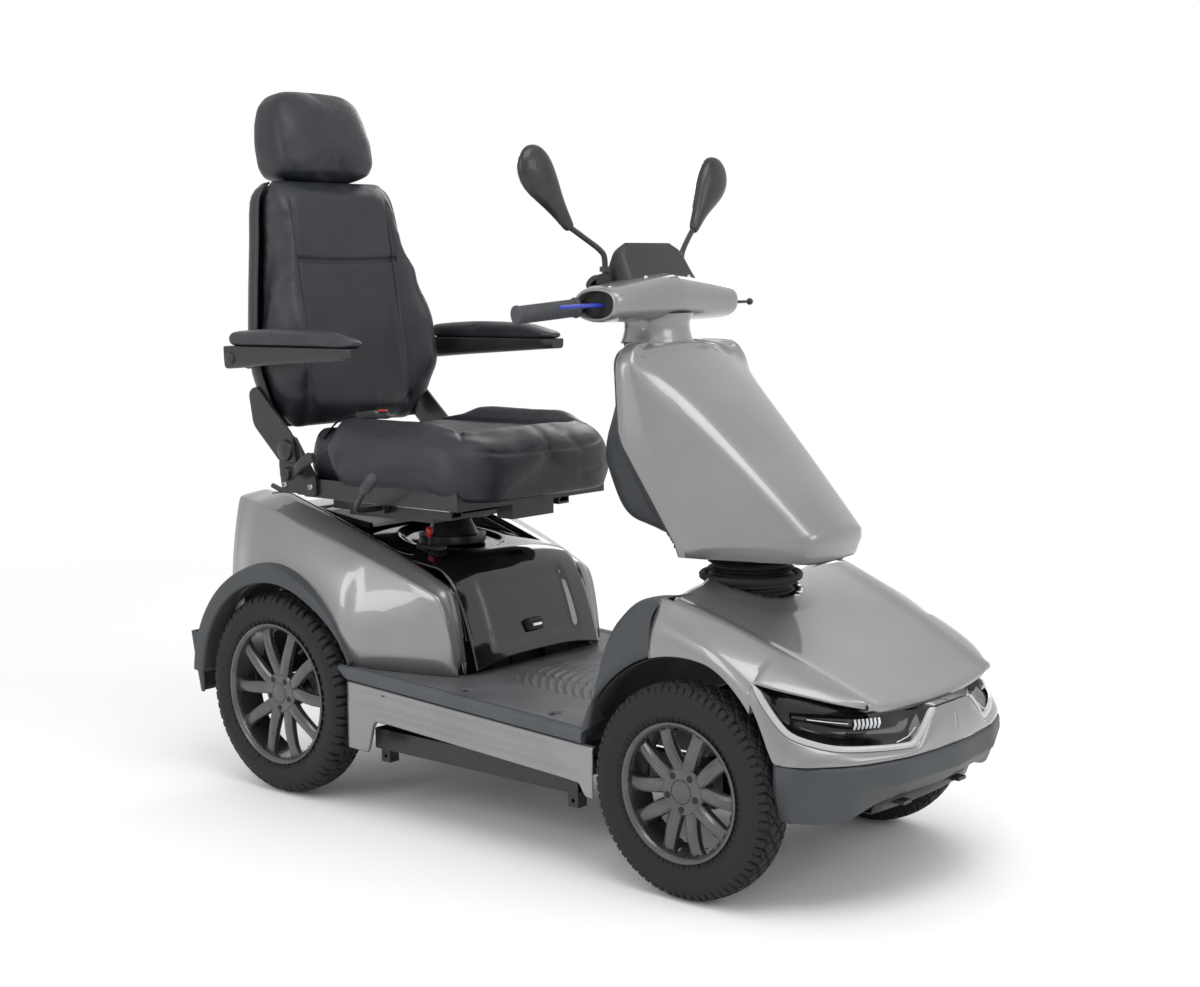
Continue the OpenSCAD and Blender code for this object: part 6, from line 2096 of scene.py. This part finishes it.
# ---- seat ironwork
def ironwork():
    """Recliner plates and springs, seat levers, belt buckle and slide strips."""
    # recliner cover plates on the seat pan
    for s, side in ((-1, "r"), (1, "l")):
        prof = [(0.486, 0.602), (0.592, 0.602), (0.6, 0.66), (0.588, 0.716), (0.566, 0.724), (0.546, 0.714),
            (0.512, 0.662), (0.486, 0.64)]
        loop = fillet([(p[0], p[1], 0) for p in prof + [prof[0]]], 0.008, 3)[:-1]
        a = [(-0.2215, p.x, p.y) for p in loop]
        b = [(-0.2145, p.x, p.y) for p in loop]
        piece("recliner_plate_" + side, *sided(plate(a, b), s), STEELB, "seat", bevel=0.001)
        parts = [bolt((-0.2215, y, z), (-1, 0, 0), 0.007, 0.005)
            for y, z in ((0.5, 0.618), (0.58, 0.618), (0.566, 0.7))]
        piece("recliner_bolts_" + side, *sided(join(*parts), s), STEEL, "seat")
        # return spring of the recliner
        path = []
        for i in range(80):
            t = i / 79
            a_ = t * 2 * pi * 3.2
            r = lerp(0.008, 0.0165, t)
            path.append((-0.2285, 0.566 + r * cos(a_), 0.69 + r * sin(a_)))
        piece("recliner_spring_" + side, *sided(tube(path, 0.0014, 8, 1.0, (1, 0, 0)), s), STEEL, "seat")
    # recline paddle
    lo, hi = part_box("recline_lever")
    rows = []
    for t in range(15):
        u = t / 14
        y = lerp(0.548, 0.446, u)
        z = lerp(0.64, 0.686, smooth(u)) - 0.002
        w = lerp(0.0085, 0.013, u) if u < 0.92 else 0.01
        x0 = lerp(-0.2435, -0.2585, smooth(u * 1.6))
        rows.append([Vector((x0, y, z)) + Vector((0, 0.25, 1)).normalized() * (sin(a) * w)
            + Vector((cos(a) * 0.0052, 0, 0)) for a in angles(20)])
    piece("recline_paddle", *join(grid(rows, close_v=True, cap0=True, cap1=True),
        turned([(0.0062, 0.004), (0.0135, 0.004), (0.0145, 0.0), (0.0135, -0.014), (0.01, -0.016),
        (0.0001, -0.016)], (-0.2465, 0.536, 0.646), (1, 0, 0), 30)), BLACKP, "recline_handle",
        rep="recline_lever", sharp=45)
    # slide lever with a ribbed rubber grip
    path = smooth_path([(-0.178, 0.33, 0.584), (-0.205, 0.33, 0.584), (-0.255, 0.324, 0.588),
        (-0.274, 0.3, 0.606), (-0.285, 0.266, 0.637)], 5)
    piece("slide_bar", *tube(path, 0.0052, 16), STEELB, "slide_handle", rep="slide_lever")
    g0, g1 = Vector((-0.2835, 0.27, 0.6335)), Vector((-0.2985, 0.2275, 0.6625))
    ax = (g1 - g0)
    L = ax.length
    prof = [(0.0056, 0), (0.0105, 0.001)]
    for i in range(6):
        h = 0.004 + i * (L - 0.012) / 6
        prof += [(0.0104, h), (0.0116, h + 0.0022), (0.0116, h + 0.0042), (0.0104, h + 0.006)]
    prof += [(0.0112, L - 0.007), (0.0105, L - 0.002), (0.007, L + 0.0012), (0.0001, L + 0.002)]
    piece("slide_grip", *turned(prof, g0, ax, 28), GRIP, "slide_handle", sharp=60)
    # belt buckle on its stalk, press button and webbing to the seat's corner
    rot = Matrix.Rotation(radians(30), 4, "Z")
    lo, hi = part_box("belt_buckle")
    c = Vector(((lo.x + hi.x) / 2, (lo.y + hi.y) / 2 - SH, lo.z))
    h = hi.z - lo.z

    def at(x, y, z):
        return c + rot @ Vector((x, y, 0)) + Vector((0, 0, z))

    rows = []
    for t in range(13):
        u = t / 12
        y = lerp(-0.033, 0.033, u)
        w = 0.0135 * (0.86 + 0.14 * sin(pi * u))
        hz = h * (0.8 + 0.2 * sin(pi * clamp(u * 1.1)))
        if 0.04 < u < 0.34:
            hz = h - 0.0048
        rows.append([at(xx, y, zz) for xx, zz in ((-w, 0.002), (-w + 0.002, 0), (w - 0.002, 0), (w, 0.002),
            (w, hz - 0.003), (w - 0.003, hz), (-w + 0.003, hz), (-w, hz - 0.003))])
    piece("buckle_body", *grid(rows, close_v=True, cap0=True, cap1=True), BLACKP, "seat", rep="belt_buckle",
        sharp=30, bevel=0.0006)
    piece("buckle_release", *strip([at(0, -0.0292, h + 0.0002), at(0, -0.0128, h + 0.0002)], 0.0186, 0.0034),
        RED, "buckle_button", rep="belt_button", bevel=0.0006)
    path = smooth_path([at(0, 0.03, 0.007), at(0.004, 0.055, 0.004), at(0.004, 0.08, -0.01),
        at(0.0, 0.105, -0.04)], 5)
    piece("buckle_strap", *strip(path, 0.024, 0.0022), WEBBING, "seat")
    piece("buckle_tongue", *strip([at(0, -0.033, 0.008), at(0, -0.046, 0.0075)], 0.018, 0.0022), CHROME,
        "seat", bevel=0.0004)
    # bright edge of the slide rails, and the swivel's pivot bolt
    for k, side in ((-1, "r"), (1, "l")):
        piece("slide_strip_" + side, *strip([(k * 0.1735, 0.152, 0.5905), (k * 0.1735, 0.488, 0.5905)], 0.003,
            0.005), CHROME, "swivel")
        parts = [bolt((k * 0.164, y, 0.5715), (0, 0, -1), 0.0065, 0.006) for y in (0.215, 0.425)]
        piece("swivel_bolts_" + side, *join(*parts), STEEL, "swivel")


ironwork()


# ---------------------------------------------------------------- floor, light and camera
def studio():
    """White paper floor."""
    size = 34.0
    rows = []
    n = 24
    cx, cy = sin(radians(48)), cos(radians(48))
    for i in range(n + 1):
        d = lerp(-8, 30, i / n)
        rows.append([(cx * d - cy * w * size / 2, cy * d + cx * w * size / 2, 0)
            for w in (-1, -0.5, 0, 0.5, 1)])
    v, f = grid(rows)
    me = bpy.data.meshes.new("studio_floor")
    me.from_pydata(v, [], f)
    for p in me.polygons:
        p.use_smooth = True
    m = Mat("floor_paper", rough=0.65, spec=0.25)
    m.colour(m.noise(1.5, 3), (0.93, 0.93, 0.93), (0.95, 0.95, 0.95))
    m.bump(m.noise(200, 3), 0.02, 0.001)
    # far from the scooter the paper burns out to plain white, so that no horizon shows
    nt = m.m.node_tree
    geo = nt.nodes.new("ShaderNodeNewGeometry")
    dist = nt.nodes.new("ShaderNodeVectorMath")
    dist.operation = "LENGTH"
    ramp = nt.nodes.new("ShaderNodeMapRange")
    ramp.interpolation_type = "SMOOTHSTEP"
    ramp.inputs[1].default_value, ramp.inputs[2].default_value = 1.3, 4.2
    glow = nt.nodes.new("ShaderNodeEmission")
    glow.inputs[0].default_value = (1, 1, 1, 1)
    mix = nt.nodes.new("ShaderNodeMixShader")
    out = [x for x in nt.nodes if x.type == "OUTPUT_MATERIAL"][0]
    was = out.inputs["Surface"].links[0].from_socket
    nt.links.new(geo.outputs["Position"], dist.inputs[0])
    nt.links.new(dist.outputs["Value"], ramp.inputs[0])
    nt.links.new(ramp.outputs[0], mix.inputs[0])
    nt.links.new(was, mix.inputs[1])
    nt.links.new(glow.outputs[0], mix.inputs[2])
    nt.links.new(mix.outputs[0], out.inputs["Surface"])
    me.materials.append(m.m)
    ob = bpy.data.objects.new("studio_floor", me)
    bpy.context.scene.collection.objects.link(ob)


def area(name, loc, target, w, h, power, colour=(1, 1, 1)):
    li = bpy.data.lights.new(name, "AREA")
    li.shape = "RECTANGLE"
    li.size, li.size_y = w, h
    li.energy = power
    li.color = colour
    ob = bpy.data.objects.new(name, li)
    ob.location = loc
    d = Vector(target) - Vector(loc)
    ob.rotation_euler = d.to_track_quat("-Z", "Y").to_euler()
    bpy.context.scene.collection.objects.link(ob)


studio()
area("key_top", (-0.8, -1.6, 3.6), (0, 0, 0.5), 2.6, 1.6, 46)
area("side_window", (-3.6, 0.6, 2.2), (0, 0, 0.7), 0.9, 2.4, 30)
area("front_window", (0.6, -4.2, 2.4), (0, -0.3, 0.6), 2.2, 1.4, 30)
area("far_rim", (3.2, 1.8, 2.6), (0, 0, 0.8), 1.4, 1.4, 22)
w = bpy.data.worlds.new("studio")
w.use_nodes = True
w.node_tree.nodes["Background"].inputs[0].default_value = (1.0, 1.0, 1.0, 1)
w.node_tree.nodes["Background"].inputs[1].default_value = 0.86
# the camera sees the open air round the floor as plain white paper
seen = w.node_tree.nodes.new("ShaderNodeBackground")
seen.inputs[0].default_value = (1.0, 1.0, 1.0, 1)
seen.inputs[1].default_value = 1.0
path_ = w.node_tree.nodes.new("ShaderNodeLightPath")
mix_ = w.node_tree.nodes.new("ShaderNodeMixShader")
w.node_tree.links.new(path_.outputs["Is Camera Ray"], mix_.inputs[0])
w.node_tree.links.new(w.node_tree.nodes["Background"].outputs[0], mix_.inputs[1])
w.node_tree.links.new(seen.outputs[0], mix_.inputs[2])
w.node_tree.links.new(mix_.outputs[0], w.node_tree.nodes["World Output"].inputs["Surface"])
bpy.context.scene.world = w
bpy.context.scene.view_settings.view_transform = "Standard"
bpy.context.scene.view_settings.look = "None"

cam = bpy.data.cameras.new("camera")
cam.sensor_fit = "HORIZONTAL"
cam.sensor_width = 36.0
cam.lens = 54.03
cam.clip_end = 60
camera = bpy.data.objects.new("camera", cam)
bpy.context.scene.collection.objects.link(camera)
yaw, pitch, roll = radians(49.39), radians(6.8935), radians(-0.6809)
fwd = Vector((sin(yaw) * cos(pitch), cos(yaw) * cos(pitch), -sin(pitch)))
right = Vector((cos(yaw), -sin(yaw), 0))
up = right.cross(fwd)
r2 = right * cos(roll) + up * sin(roll)
u2 = up * cos(roll) - right * sin(roll)
camera.matrix_world = Matrix(((r2.x, u2.x, -fwd.x, -2.598), (r2.y, u2.y, -fwd.y, -2.31 + SH),
                              (r2.z, u2.z, -fwd.z, 1.037), (0, 0, 0, 1)))
bpy.context.scene.camera = camera
